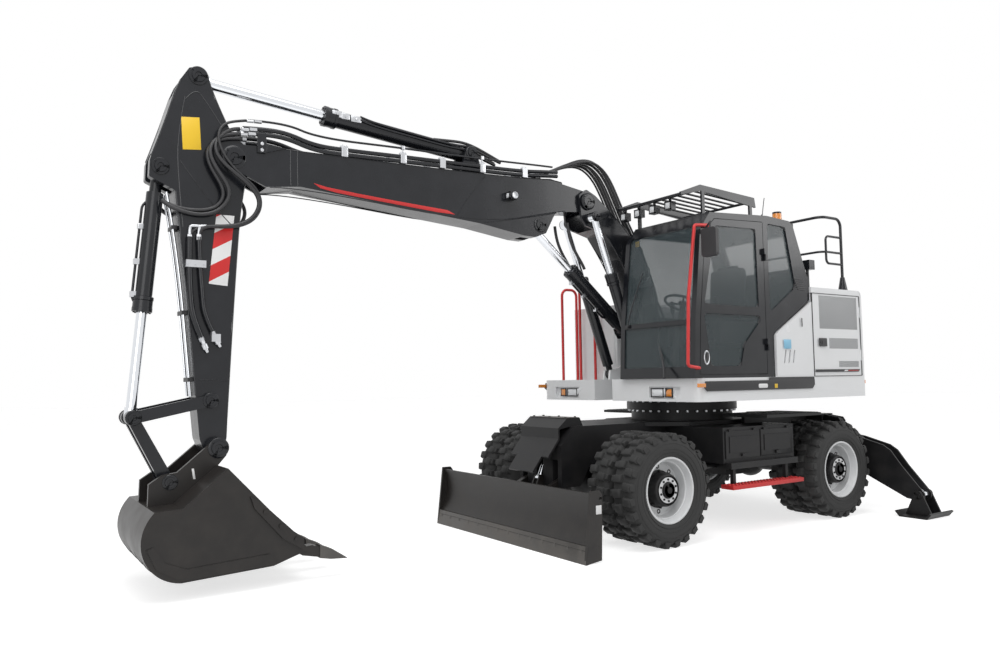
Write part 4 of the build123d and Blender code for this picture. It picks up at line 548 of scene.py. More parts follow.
class ExcavatorSizes(bpy.types.PropertyGroup):
    """Sizes of the small pieces"""
    lug_count: IntProperty(name="Lugs", description="Lugs in each ring of a tyre's tread", default=24, min=8)
    lug_depth: amount("Lug depth", "How far the lugs stand out of the tread", 0.028)
    nut_count: IntProperty(name="Wheel nuts", description="Nuts round each hub", default=10, min=4)
    hose_radius: amount("Hose radius", "Radius of the larger hoses", 0.016)
    pipe_radius: amount("Pipe radius", "Radius of the larger pipes", 0.019)
    weld_radius: amount("Weld radius", "Radius of a bead of weld", 0.005)
    bundle_count: IntProperty(name="Hoses over the knuckle", default=7, min=1,
                              description="Hoses side by side over the boom's knuckle")


# Operators, one for each group of pieces

class EXCAVATOR_OT_stage(bpy.types.Operator):
    """Floor, lamps, world and the camera at the photograph's viewing angle"""
    bl_idname = "excavator.stage"
    bl_label = "Stage"

    def execute(self, context):
        settings = context.scene.excavator_stage
        scene = context.scene
        scene.view_settings.view_transform = "Standard"
        bm = bmesh.new()
        bmesh.ops.create_grid(bm, x_segments=1, y_segments=1, size=60)
        floor = settle(bm, "floor", None, "frame_black_paint")
        floor.data.materials[0] = self.floor_finish()
        world = bpy.data.worlds.new("studio")
        scene.world = world
        world.use_nodes = True
        tree = world.node_tree
        even = tree.nodes["Background"]
        even.inputs["Color"].default_value = (1, 1, 1, 1)
        even.inputs["Strength"].default_value = settings.world_level
        seen = add_node(tree, "ShaderNodeBackground", Strength=1.0)
        seen.inputs["Color"].default_value = (1, 1, 1, 1)
        mix = add_node(tree, "ShaderNodeMixShader")
        tree.links.new(self.backdrop_rays(tree), mix.inputs["Fac"])
        tree.links.new(even.outputs[0], mix.inputs[1])
        tree.links.new(seen.outputs[0], mix.inputs[2])
        tree.links.new(mix.outputs[0], tree.nodes["World Output"].inputs["Surface"])
        self.lamp("key", (3.5, 3.0, 9.5), (0, 0, 1.2), settings.key_power, 7.0)
        self.lamp("fill", (7.5, 7.0, 3.6), (0, 0, 1.4), settings.fill_power, 5.0)
        self.lamp("rim", (-7.0, 6.0, 5.5), (-1.5, 0, 1.8), settings.fill_power, 4.0)
        self.camera(scene, settings)
        return {"FINISHED"}

    def backdrop_rays(self, tree):
        """1 for the rays that see the backdrop: from the camera, off gloss and through glass."""
        ray = add_node(tree, "ShaderNodeLightPath")
        either = add_node(tree, "ShaderNodeMath", operation="MAXIMUM")
        tree.links.new(ray.outputs["Is Camera Ray"], either.inputs[0])
        tree.links.new(ray.outputs["Is Glossy Ray"], either.inputs[1])
        any_ray = add_node(tree, "ShaderNodeMath", operation="MAXIMUM")
        tree.links.new(either.outputs[0], any_ray.inputs[0])
        tree.links.new(ray.outputs["Is Transmission Ray"], any_ray.inputs[1])
        return any_ray.outputs[0]

    def floor_finish(self):
        """White ground that keeps the machine's soft shadow."""
        made, tree, skin = new_material("studio_floor")
        skin.inputs["Base Color"].default_value = (0.55, 0.55, 0.55, 1)
        skin.inputs["Roughness"].default_value = 0.9
        glow = add_node(tree, "ShaderNodeEmission", Strength=0.70)
        added = add_node(tree, "ShaderNodeAddShader")
        mix = add_node(tree, "ShaderNodeMixShader")
        tree.links.new(skin.outputs[0], added.inputs[0])
        tree.links.new(glow.outputs[0], added.inputs[1])
        tree.links.new(self.backdrop_rays(tree), mix.inputs["Fac"])
        tree.links.new(skin.outputs[0], mix.inputs[1])
        tree.links.new(added.outputs[0], mix.inputs[2])
        tree.links.new(mix.outputs[0], tree.nodes["Material Output"].inputs["Surface"])
        return made

    def lamp(self, name, at, towards, power, size):
        light = bpy.data.lights.new(name, "AREA")
        light.energy = power
        light.size = size
        holder = bpy.data.objects.new(name, light)
        holder.location = at
        holder.rotation_euler = (Vector(towards) - Vector(at)).to_track_quat("-Z", "Y").to_euler()
        bpy.context.scene.collection.objects.link(holder)

    def camera(self, scene, settings):
        yaw, pitch, roll = (radians(angle) for angle in CAMERA_TURN)
        forward = Vector((cos(pitch) * cos(yaw), cos(pitch) * sin(yaw), sin(pitch)))
        right = Vector((sin(yaw), -cos(yaw), 0.0))
        up = right.cross(forward)
        side = cos(roll) * right + sin(roll) * up
        top = -sin(roll) * right + cos(roll) * up
        lens = bpy.data.cameras.new("camera")
        lens.sensor_width = 36.0
        lens.lens = settings.lens
        lens.clip_end = 200.0
        holder = bpy.data.objects.new("camera", lens)
        turn = Matrix((side, top, -forward)).transposed()
        x, y, z = CAMERA_FROM_AXLE
        holder.matrix_world = Matrix.Translation((FRONT_AXLE_X + x, y, z)) @ turn.to_4x4()
        scene.collection.objects.link(holder)
        scene.camera = holder


class EXCAVATOR_OT_finishes(bpy.types.Operator):
    """Paints and other finishes, on every solid of the machine"""
    bl_idname = "excavator.finishes"
    bl_label = "Finishes"

    def execute(self, context):
        make_materials(context.scene.excavator_colours)
        for name, node in CAD_NODES.items():
            node.data.materials.clear()
            node.data.materials.append(bpy.data.materials[finish_of(name)])
        return {"FINISHED"}


class EXCAVATOR_OT_tyres(bpy.types.Operator):
    """Twin tyres with rings of block lugs, in place of the plain ones"""
    bl_idname = "excavator.tyres"
    bl_label = "Tyres"

    def execute(self, context):
        sizes = context.scene.excavator_sizes
        for corner in CORNERS:
            low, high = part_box("tyre_" + corner)
            centre = (low + high) / 2
            half = (high.y - low.y) / 2
            radius = (high.z - low.z) / 2 - 0.001
            bm = bmesh.new()
            for side in (-1, 1):
                self.carcass(bm, centre, side, half, radius - sizes.lug_depth)
                self.tread(bm, centre, side, half, radius, sizes)
            piece = settle(bm, "tread_" + corner, "wheel_" + corner, "tread_rubber")
            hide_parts("tyre_" + corner)
        return {"FINISHED"}

    def carcass(self, bm, centre, side, half, tread):
        """One tyre of the pair, from the gap between them outwards."""
        profile = (
            (0.019, 0.345), (0.021, 0.400), (0.030, 0.450), (0.048, tread - 0.010), (0.070, tread),
            (half - 0.050, tread), (half - 0.026, tread - 0.012), (half - 0.008, 0.452), (half, 0.400),
            (half - 0.004, 0.352), (half - 0.012, 0.318), (half - 0.024, 0.303), (0.060, 0.303),
            (0.030, 0.312),
        )
        lathe(bm, profile, centre, (0, side, 0), steps=72, closed=True)
        for ring in (0.335, 0.372, 0.425):
            lathe(bm, ((half - 0.012, ring - 0.006), (half + 0.001 - abs(ring - 0.39) * 0.06, ring),
                       (half - 0.012, ring + 0.006)), centre, (0, side, 0), steps=72)

    def tread(self, bm, centre, side, half, radius, sizes):
        """Two staggered rings of lugs, and the ring of shoulder steps outside them."""
        count = sizes.lug_count
        depth = sizes.lug_depth + 0.006
        step = 2 * pi / count
        middle = (half + 0.05) / 2
        width = (half - 0.075) / 2
        length = 0.60 * step * radius
        rings = (
            (middle - width / 2 - 0.006, width - 0.012, depth, length, 0.0, 0.10),
            (middle + width / 2 + 0.006, width - 0.012, depth, length, step / 2, -0.10),
            (half - 0.024, 0.042, 0.050, length * 0.86, step / 2, 0.0),
            (0.045, 0.040, 0.040, length * 0.8, 0.0, 0.0),
        )
        for along, lug_width, lug_depth, lug_length, turn, lean in rings:
            crown = radius if lug_depth <= depth else radius - 0.012
            place = centre + Vector((0, side * along, crown - lug_depth / 2))
            start = len(bm.verts)
            size = Matrix.Diagonal((lug_length, lug_width, lug_depth, 1))
            spot = Matrix.Translation(place) @ Matrix.Rotation(lean * side, 4, "Z") @ size
            bmesh.ops.create_cube(bm, size=1.0, matrix=spot)
            top = [v for v in added(bm, start)[0] if v.co.z > place.z]
            bmesh.ops.scale(bm, vec=(0.80, 0.86, 1), space=Matrix.Translation(-place), verts=top)
            soften(bm, [e for e in added(bm, start)[1] if e.verts[0] in top or e.verts[1] in top], 0.005, 1)
            bmesh.ops.rotate(bm, cent=centre, matrix=Matrix.Rotation(turn, 3, "Y"), verts=added(bm, start)[0])
            repeat_round(bm, start, centre, (0, 1, 0), count)


class EXCAVATOR_OT_hubs(bpy.types.Operator):
    """Black hub drums with their nuts, the rims' rings, dark discs of painted shade in the hand holes, and
    valves
    """
    bl_idname = "excavator.hubs"
    bl_label = "Hubs and rims"

    def execute(self, context):
        nuts = context.scene.excavator_sizes.nut_count
        for corner in CORNERS:
            pivot = PIVOT["wheel_" + corner]
            side = 1 if corner.endswith("left") else -1
            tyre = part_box("tyre_" + corner)
            outer = tyre[1].y if side > 0 else tyre[0].y
            centre = Vector((pivot.x, outer, pivot.z))
            body = "wheel_" + corner
            self.drum(body, corner, centre, side, nuts)
            self.rim_rings(body, corner, centre, side)
        return {"FINISHED"}

    def drum(self, body, corner, centre, side, nuts):
        bm = bmesh.new()
        axis = (0, side, 0)
        profile = (
            (-0.1800, 0.0), (-0.1795, 0.172), (-0.1660, 0.172), (-0.1620, 0.158), (-0.0700, 0.1500),
            (-0.0560, 0.1440), (-0.0485, 0.1300), (-0.0485, 0.1180), (-0.0530, 0.1140), (-0.0530, 0.0800),
            (-0.0470, 0.0740), (-0.0340, 0.0700), (-0.0310, 0.0640), (-0.0310, 0.0),
        )
        lathe(bm, profile, centre, axis, steps=64)
        start = len(bm.verts)
        at = centre + Vector((0, -side * 0.053, 0.097))
        bar(bm, at, at + Vector((0, side * 0.012, 0)), 0.0105, segments=6, edge=0.0012)
        repeat_round(bm, start, centre, axis, nuts)
        start = len(bm.verts)
        at = centre + Vector((0, -side * 0.168, 0.165))
        bar(bm, at, at + Vector((0, side * 0.022, 0)), 0.0125, segments=6, edge=0.0015)
        repeat_round(bm, start, centre, axis, nuts)
        lathe(bm, ((-0.032, 0.030), (-0.026, 0.028), (-0.026, 0.0)), centre, axis, steps=24)
        settle(bm, "hub_" + corner, body, "frame_black_paint")

    def rim_rings(self, body, corner, centre, side):
        axis = (0, side, 0)
        bm = bmesh.new()
        lathe(bm, ((-0.030, 0.280), (-0.020, 0.284), (-0.0175, 0.293), (-0.020, 0.3005), (-0.034, 0.3015)),
              centre, axis, steps=96)
        lathe(bm, ((-0.092, 0.266), (-0.084, 0.264), (-0.080, 0.2575), (-0.086, 0.252)), centre, axis,
              steps=96)
        lathe(bm, ((-0.176, 0.244), (-0.172, 0.238), (-0.176, 0.232)), centre, axis, steps=96)
        settle(bm, "rim_rings_" + corner, body, "rim_white_paint")
        # Dark discs of painted shade stand in for the rims' hand holes; the valve stem goes with them.
        bm = bmesh.new()
        start = len(bm.verts)
        hole_shade = centre + Vector((0, 0, 0.205))
        lathe(bm, ((-0.181, 0.0), (-0.1792, 0.019), (-0.1775, 0.021), (-0.181, 0.023)), hole_shade, axis, steps=24)
        repeat_round(bm, start, centre, axis, 8)
        stem = centre + Vector((0.050, -side * 0.178, 0.226))
        bar(bm, stem, stem + Vector((0, side * 0.05, 0.006)), 0.005, segments=10)
        settle(bm, "rim_hole_shade_and_valve_" + corner, body, "moulded_black")


# Pins that show: name, body, place, half width where the cap sits, radius
PIN_CAPS = (
    ("boom_foot", "upper", BOOM_FOOT, 0.2035, 0.075),
    ("lift_foot", "upper", PIVOT["lift_cylinder_pivot"], 0.3005, 0.045),
    ("lift_eye", "lift_cylinder_rod", on_base_boom(1.693, -0.084), 0.276, 0.048),
    ("knuckle", "base_boom", KNUCKLE_PIN, 0.164, 0.082),
    ("adjust_base", "base_boom", on_base_boom(0.374, -0.168), 0.084, 0.055),
    ("adjust_eye", "front_boom", on_front_boom(0.632, -0.300), 0.150, 0.068),
    ("arm_cylinder_base", "front_boom", on_front_boom(1.402, 0.352), 0.103, 0.058),
    ("boom_nose", "front_boom", ARM_PIN, 0.150, 0.085),
    ("arm_cylinder_eye", "arm", on_arm(-0.611, 0.308), 0.120, 0.068),
    ("bucket_cylinder_base", "arm", on_arm(0.170, 0.541), 0.120, 0.060),
    ("idler", "idler_links", PIVOT["idler_pivot"], 0.1545, 0.055),
    ("link", "idler_links", PIVOT["bucket_link_pivot"], 0.1545, 0.052),
    ("bucket_link", "bucket", BUCKET_PIN + Vector((0.351, 0, -0.234)), 0.2015, 0.052),
    ("bucket", "bucket", BUCKET_PIN, 0.2015, 0.072),
)


def pin_cap(bm, centre, axis, radius, bolts=3):
    """A pin's cap: a turned flange with its recess and bolts."""
    profile = (
        (-0.002, radius * 1.10), (0.006, radius * 1.10), (0.010, radius * 1.03), (0.010, radius * 0.78),
        (0.018, radius * 0.74), (0.018, radius * 0.42), (0.011, radius * 0.38), (0.011, 0.0),
    )
    lathe(bm, profile, centre, axis, steps=40)
    start = len(bm.verts)
    axis = Vector(axis)
    at = centre + axis.orthogonal().normalized() * radius * 0.91
    bar(bm, at + axis * 0.009, at + axis * 0.018, radius * 0.10, segments=6)
    repeat_round(bm, start, centre, axis, bolts)
    bar(bm, centre + axis * 0.010, centre + axis * 0.020, 0.006, 0.003, segments=10)


class EXCAVATOR_OT_pin_caps(bpy.types.Operator):
    """Caps with bolts on the pins of the booms, the arm, the bucket and the outriggers"""
    bl_idname = "excavator.pin_caps"
    bl_label = "Pin caps"

    def execute(self, context):
        for name, body, place, half, radius in PIN_CAPS:
            bm = bmesh.new()
            for side in (-1, 1):
                centre = Vector((place.x, BOOM_Y + side * half, place.z))
                pin_cap(bm, centre, (0, side, 0), radius)
            settle(bm, "cap_" + name, body, "gloss_black_paint")
        for name, side in SIDES:
            foot = PIVOT["pad_" + name + "_tilt"]
            root = PIVOT["outrigger_" + name + "_swing"]
            for label, body, pin, reach, radius in (
                ("foot_", "pad_" + name, foot, 0.106, 0.042),
                ("leg_", "chassis", root, 0.110, 0.058),
            ):
                bm = bmesh.new()
                for end in (-1, 1):
                    x = foot.x + end * reach
                    pin_cap(bm, Vector((x, pin.y, pin.z)), (end, 0, 0), radius)
                settle(bm, "cap_" + label + name, body, "frame_black_paint")
        return {"FINISHED"}


# Beads of weld along the boxes' edges: body, its line, half width, points along and across the line
WELD_RUNS = (
    ("front_boom", on_front_boom, BOOM_HALF, (
        ((0.30, -0.128), (0.421, -0.146), (1.355, -0.349), (3.141, -0.186), (3.40, -0.214)),
        ((0.34, 0.168), (0.487, 0.190), (0.860, 0.151), (3.006, 0.117), (3.40, 0.122)),
        ((0.421, -0.160), (0.90, -0.262), (1.30, -0.330)),
        ((1.28, 0.130), (1.50, -0.10), (1.62, -0.300)),
        ((3.225, 0.118), (3.230, -0.02), (3.225, -0.180)),
        ((3.165, 0.118), (3.170, -0.02), (3.165, -0.176)),
    )),
    ("base_boom", on_base_boom, BOOM_HALF, (
        ((0.15, -0.106), (0.42, -0.028), (0.76, 0.064), (1.118, 0.094), (1.44, 0.045)),
        ((0.25, 0.246), (0.60, 0.346), (1.00, 0.396), (1.35, 0.346), (1.62, 0.238)),
    )),
    ("arm", on_arm, ARM_HALF, (
        ((0.345, 0.420), (1.076, 0.294), (1.94, 0.169), (2.24, 0.124)),
        ((0.10, -0.118), (0.249, -0.097), (0.599, -0.070), (2.10, -0.072)),
        ((-0.55, 0.437), (-0.438, 0.476), (-0.163, 0.538), (0.10, 0.612)),
        ((-0.63, 0.240), (-0.465, 0.182), (-0.215, 0.036)),
        ((-0.42, 0.400), (-0.10, 0.440), (0.30, 0.400), (0.62, 0.350)),
        ((-0.40, 0.392), (-0.50, 0.330), (-0.44, 0.250), (-0.25, 0.110)),
        ((0.10, 0.40), (0.42, 0.14), (0.56, -0.03)),
        ((1.80, 0.160), (1.79, 0.06), (1.80, -0.055)),
    )),
)


class EXCAVATOR_OT_welds(bpy.types.Operator):
    """Beads of weld and edge lines on the booms and the arm"""
    bl_idname = "excavator.welds"
    bl_label = "Welds"

    def execute(self, context):
        radius = context.scene.excavator_sizes.weld_radius
        for body, on, half, runs in WELD_RUNS:
            bm = bmesh.new()
            for run in runs:
                for side in (-1, 1):
                    points = [on(along, across, BOOM_Y + side * (half - 0.001)) for along, across in run]
                    hose(bm, points, radius, order=3, steps=6, sides=2)
            settle(bm, "welds_" + body, body, "gloss_black_paint")
        return {"FINISHED"}


class EXCAVATOR_OT_boom_pipes(bpy.types.Operator):
    """Pipes along the front boom's top edges, with their clamps and fittings"""
    bl_idname = "excavator.boom_pipes"
    bl_label = "Boom pipes"
    # Route of the lower pipe over the boom's top edge: x from the front axle, height of its middle
    route = ((3.50, 3.573), (3.36, 3.590), (3.14, 3.593), (2.90, 3.523), (2.62, 3.524), (2.08, 3.545),
             (1.40, 3.568), (0.74, 3.590), (0.40, 3.630), (0.28, 3.640))
    thin_route = ((3.46, 3.658), (3.16, 3.690), (2.87, 3.606), (2.06, 3.640), (1.56, 3.650), (0.97, 3.672),
                  (0.52, 3.694), (0.34, 3.700))
    clamps = (2.627, 2.056, 1.648, 1.20, 0.70)

    def execute(self, context):
        radius = context.scene.excavator_sizes.pipe_radius
        for name, side in SIDES:
            y = BOOM_Y + side * BOOM_HALF
            bm = bmesh.new()
            for lift in (0.0, 0.042):
                hose(bm, [(FRONT_AXLE_X + x, y, z + lift) for x, z in self.route], radius, order=3)
            hose(bm, [(FRONT_AXLE_X + x, y, z + 0.03) for x, z in self.thin_route], radius * 0.5, order=3)
            settle(bm, "boom_pipes_" + name, "front_boom", "gloss_black_paint")
            bm = bmesh.new()
            for x in self.clamps:
                z = self.height(x)
                at = FRONT_AXLE_X + x
                block(bm, (at - 0.030, y - 0.024, z - 0.022), (at + 0.030, y + 0.024, z + 0.068), 0.006)
                block(bm, (at - 0.034, y - 0.012, z + 0.060), (at + 0.034, y + 0.012, z + 0.076), 0.003)
                for end in (-0.017, 0.017):
                    bar(bm, (at + end, y, z + 0.070), (at + end, y, z + 0.088), 0.008, segments=6)
                if x in (2.056, 1.20):
                    bar(bm, (at, y, z + 0.07), (at, y, z + 0.135), 0.007)
                    block(bm, (at - 0.016, y - 0.014, z + 0.110), (at + 0.016, y + 0.014, z + 0.142), 0.004)
            for lift, end in ((0.0, 3.50), (0.042, 3.49), (0.125, 3.45)):
                at = FRONT_AXLE_X + end
                z = 3.573 + lift * 0.9
                size = radius * (1.2 if lift < 0.1 else 0.8)
                bar(bm, (at - 0.10, y, z + 0.006), (at - 0.04, y, z + 0.002), size, segments=6, edge=0.002)
                bar(bm, (at - 0.035, y, z), (at + 0.02, y, z - 0.004), size * 0.85, segments=12, edge=0.002)
            settle(bm, "boom_clamps_" + name, "front_boom", "fitting_steel")
            bm = bmesh.new()
            bracket = outline_at(((3.385, 3.430), (3.315, 3.430), (3.305, 3.480), (3.315, 3.600),
                                  (3.385, 3.600)))
            gusset = outline_at(((3.315, 3.440), (3.14, 3.500), (3.315, 3.500)))
            face = BOOM_Y + side * (BOOM_HALF - 0.001)
            plate(bm, bracket, face, side * 0.018, 0.003)
            plate(bm, gusset, face, side * 0.012, 0.003)
            settle(bm, "boom_bracket_" + name, "front_boom", "gloss_black_paint")
            bm = bmesh.new()
            for z in (3.452, 3.505):
                bolt = Vector((FRONT_AXLE_X + 3.350, face + side * 0.017, z))
                bar(bm, bolt, bolt + Vector((0, side * 0.012, 0)), 0.015, segments=6, edge=0.002)
            settle(bm, "boom_bracket_bolts_" + name, "front_boom", "fitting_steel")
        return {"FINISHED"}

    def height(self, x):
        """Height of the lower pipe at x from the front axle."""
        for (x_1, z_1), (x_2, z_2) in zip(self.route, self.route[1:]):
            if x_2 <= x <= x_1:
                return z_2 + (z_1 - z_2) * (x - x_2) / (x_1 - x_2)
        raise ValueError("a clamp stands beyond the pipe's ends")


class EXCAVATOR_OT_knuckle_hoses(bpy.types.Operator):
    """Hoses that arch over the knuckle between the two booms, and the pipes they join"""
    bl_idname = "excavator.knuckle_hoses"
    bl_label = "Hoses over the knuckle"
    # The arch: x from the front axle, height, and how much each next hose rises there
    arch = ((0.46, 3.655, 0.0), (0.34, 3.690, 0.0), (0.16, 3.760, 0.004), (-0.04, 3.850, 0.010),
            (-0.26, 3.880, 0.012), (-0.44, 3.760, 0.008), (-0.56, 3.560, 0.004), (-0.68, 3.330, 0.0),
            (-0.80, 3.130, 0.0), (-0.93, 2.945, 0.0))

    def execute(self, context):
        sizes = context.scene.excavator_sizes
        count = sizes.bundle_count
        ends = (-0.125, 0.125)
        for number in range(count):
            share = number / (count - 1)
            y = BOOM_Y + ends[0] + (ends[1] - ends[0]) * share
            bm = bmesh.new()
            points = [(FRONT_AXLE_X + x - 0.05 * rise * number, y, z + rise * (number % 3))
                      for x, z, rise in self.arch]
            hose(bm, points, sizes.hose_radius if number % 3 else sizes.hose_radius * 0.7)
            piece = settle(bm, f"knuckle_hose_{number + 1}", None, "hose_rubber")
            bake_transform(piece)
        self.fittings(count, ends)
        self.base_pipes(count, ends, sizes)
        return {"FINISHED"}

    def fittings(self, count, ends):
        bm = bmesh.new()
        for number in range(count):
            y = BOOM_Y + ends[0] + (ends[1] - ends[0]) * number / (count - 1)
            start = Vector((FRONT_AXLE_X + 0.50, y, 3.640))
            bar(bm, start, start + Vector((-0.05, 0, 0.012)), 0.019, segments=6, edge=0.002)
            bar(bm, start + Vector((-0.05, 0, 0.012)), start + Vector((-0.13, 0, 0.034)), 0.0165, segments=12)
        block(bm, (FRONT_AXLE_X + 0.50, BOOM_Y - 0.145, 3.612),
              (FRONT_AXLE_X + 0.545, BOOM_Y + 0.145, 3.664), 0.006)
        settle(bm, "knuckle_fittings_front", "front_boom", "fitting_steel")
        bm = bmesh.new()
        for along in (1.10, 0.80):
            low = on_base_boom(along, 0.385)
            block(bm, (low.x - 0.025, BOOM_Y - 0.145, low.z - 0.01),
                  (low.x + 0.02, BOOM_Y + 0.145, low.z + 0.06), 0.006)
        settle(bm, "base_clamps", "base_boom", "fitting_steel")

    def base_pipes(self, count, ends, sizes):
        """Pipes down the base boom's back, and the hoses from them into the machine."""
        bm = bmesh.new()
        for number in range(count):
            y = BOOM_Y + ends[0] + (ends[1] - ends[0]) * number / (count - 1)
            run = ((1.14, 0.445), (1.00, 0.440), (0.80, 0.415), (0.60, 0.385), (0.48, 0.360))
            hose(bm, [on_base_boom(along, across, y) for along, across in run], sizes.pipe_radius * 0.75,
                 order=3)
        settle(bm, "base_pipes", "base_boom", "gloss_black_paint")
        start = on_base_boom(0.50, 0.365)
        for number in range(4):
            y = BOOM_Y - 0.10 + 0.066 * number
            bm = bmesh.new()
            hose(bm, ((start.x, y, start.z), (start.x - 0.07, y, start.z - 0.10), (start.x - 0.18, y, 2.12),
                      (start.x - 0.30, y, 1.92), (start.x - 0.44, y, 1.86), (-2.11, y, 1.86)),
                 sizes.hose_radius)
            piece = settle(bm, f"foot_hose_{number + 1}", None, "hose_rubber")
            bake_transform(piece)


class EXCAVATOR_OT_nose_hoses(bpy.types.Operator):
    """Hoses that hang in loops between the boom's nose and the arm"""
    bl_idname = "excavator.nose_hoses"
    bl_label = "Hoses at the nose"
    # Loops on the left: radius, then points as x from the front axle, distance from the boom's middle, height
    loops = (
        (0.011, ((3.47, 0.13, 3.690), (3.54, 0.150, 3.668), (3.66, 0.168, 3.640), (3.72, 0.185, 3.510),
                 (3.66, 0.195, 3.350), (3.55, 0.200, 3.230), (3.40, 0.200, 3.130), (3.345, 0.195, 3.000),
                 (3.41, 0.185, 2.850), (3.57, 0.165, 2.785), (3.75, 0.150, 2.785), (3.865, 0.142, 2.775),
                 (3.905, 0.140, 2.700))),
        (0.016, ((3.52, 0.128, 3.612), (3.60, 0.140, 3.600), (3.72, 0.165, 3.500), (3.73, 0.185, 3.370),
                 (3.64, 0.200, 3.270), (3.48, 0.205, 3.160), (3.385, 0.205, 3.060), (3.375, 0.200, 2.960),
                 (3.45, 0.180, 2.840), (3.62, 0.160, 2.790), (3.75, 0.150, 2.790), (3.825, 0.145, 2.770),
                 (3.835, 0.143, 2.705))),
        (0.017, ((3.51, 0.128, 3.570), (3.62, 0.140, 3.560), (3.74, 0.160, 3.480), (3.775, 0.175, 3.370),
                 (3.72, 0.185, 3.250), (3.63, 0.185, 3.140), (3.60, 0.180, 3.040), (3.67, 0.165, 2.920),
                 (3.80, 0.150, 2.865), (3.95, 0.140, 2.880), (4.05, 0.130, 2.915), (4.10, 0.100, 2.965))),
        (0.015, ((3.50, 0.128, 3.535), (3.66, 0.138, 3.520), (3.77, 0.155, 3.440), (3.79, 0.165, 3.330),
                 (3.73, 0.170, 3.210), (3.66, 0.170, 3.110), (3.65, 0.165, 3.020), (3.71, 0.155, 2.930),
                 (3.84, 0.145, 2.900), (3.98, 0.135, 2.905), (4.06, 0.110, 2.940))),
    )
    right_loops = (1, 2)

    def execute(self, context):
        for name, side in SIDES:
            for number, (radius, route) in enumerate(self.loops):
                if side < 0 and number not in self.right_loops:
                    continue
                bm = bmesh.new()
                hose(bm, [(FRONT_AXLE_X + x, BOOM_Y + side * y, z) for x, y, z in route], radius)
                piece = settle(bm, f"nose_hose_{name}_{number + 1}", None, "hose_rubber")
                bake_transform(piece)
        return {"FINISHED"}


class EXCAVATOR_OT_arm_pipes(bpy.types.Operator):
    """Pipes, elbows, clamps and quick couplings on the arm's sides, and the tubes down its front"""
    bl_idname = "excavator.arm_pipes"
    bl_label = "Arm pipes"
    # Pipes on the side, as x from the front axle and height; the tubes in front follow the arm's front face
    side_routes = (
        ((3.905, 2.690), (3.906, 2.480), (3.895, 2.240), (3.875, 2.060), (3.810, 1.905)),
        ((3.836, 2.695), (3.828, 2.490), (3.806, 2.240), (3.790, 2.080), (3.722, 1.945)),
    )
    front_run = ((0.35, 0.475), (0.60, 0.415), (1.076, 0.325), (1.50, 0.262), (1.93, 0.200))

    def execute(self, context):
        radius = context.scene.excavator_sizes.pipe_radius
        for name, side in SIDES:
            y = BOOM_Y + side * (ARM_HALF + 0.026)
            pipes = bmesh.new()
            steel = bmesh.new()
            for number, route in enumerate(self.side_routes):
                points = [(FRONT_AXLE_X + x, y, z) for x, z in route]
                hose(pipes, points, radius * (1.15 - 0.2 * number), order=3)
                top = Vector(points[0])
                bar(steel, top - Vector((0, 0, 0.025)), top + Vector((0, 0, 0.02)), 0.0185, segments=6,
                    edge=0.002)
                bend = (top + Vector((0, 0, 0.01)), top + Vector((0, 0, 0.075)),
                        top + Vector((-0.02, 0, 0.092)), top + Vector((-0.075, 0, 0.090)))
                hose(steel, bend, 0.0125, order=3)
                self.coupling(steel, Vector(points[-2]), Vector(points[-1]), number)
            block(steel, (FRONT_AXLE_X + 3.782, y - 0.030, 2.452), (FRONT_AXLE_X + 3.932, y + 0.024, 2.508),
                  0.005)
            for x in (3.80, 3.862, 3.918):
                at = Vector((FRONT_AXLE_X + x, y + side * 0.022, 2.48))
                bar(steel, at, at + Vector((0, side * 0.012, 0)), 0.009, segments=6)
            settle(pipes, "arm_pipes_" + name, "arm", "gloss_black_paint")
            settle(steel, "arm_fittings_" + name, "arm", "fitting_steel")
        self.front_tubes()
        return {"FINISHED"}

    def coupling(self, bm, before, end, number):
        """A quick coupling below a pipe's end: a stepped sleeve, and on the second pipe a block."""
        run = (end - before).normalized()
        bar(bm, end - run * 0.01, end + run * 0.03, 0.022, segments=6, edge=0.003)
        bar(bm, end + run * 0.03, end + run * 0.055, 0.017, segments=20, edge=0.002)
        bar(bm, end + run * 0.055, end + run * 0.095, 0.024, segments=20, edge=0.003)
        bar(bm, end + run * 0.095, end + run * 0.125, 0.015, 0.012, segments=20, edge=0.002)
        if number:
            lump(bm, end + run * 0.045, (0.034, 0.024, 0.030), 0.006)

    def front_tubes(self):
        bm = bmesh.new()
        for y in (BOOM_Y + 0.030, BOOM_Y + 0.062, BOOM_Y - 0.062):
            points = [on_arm(along, across, y) for along, across in self.front_run]
            hose(bm, points, 0.0095, order=3)
        settle(bm, "arm_front_tubes", "arm", "rod_chrome")
        bm = bmesh.new()
        for along, across in ((0.62, 0.400), (1.28, 0.286), (1.80, 0.208)):
            at = on_arm(along, across)
            block(bm, (at.x - 0.02, BOOM_Y - 0.078, at.z - 0.016),
                  (at.x + 0.024, BOOM_Y + 0.078, at.z + 0.016), 0.005)
        settle(bm, "arm_front_clamps", "arm", "moulded_black")


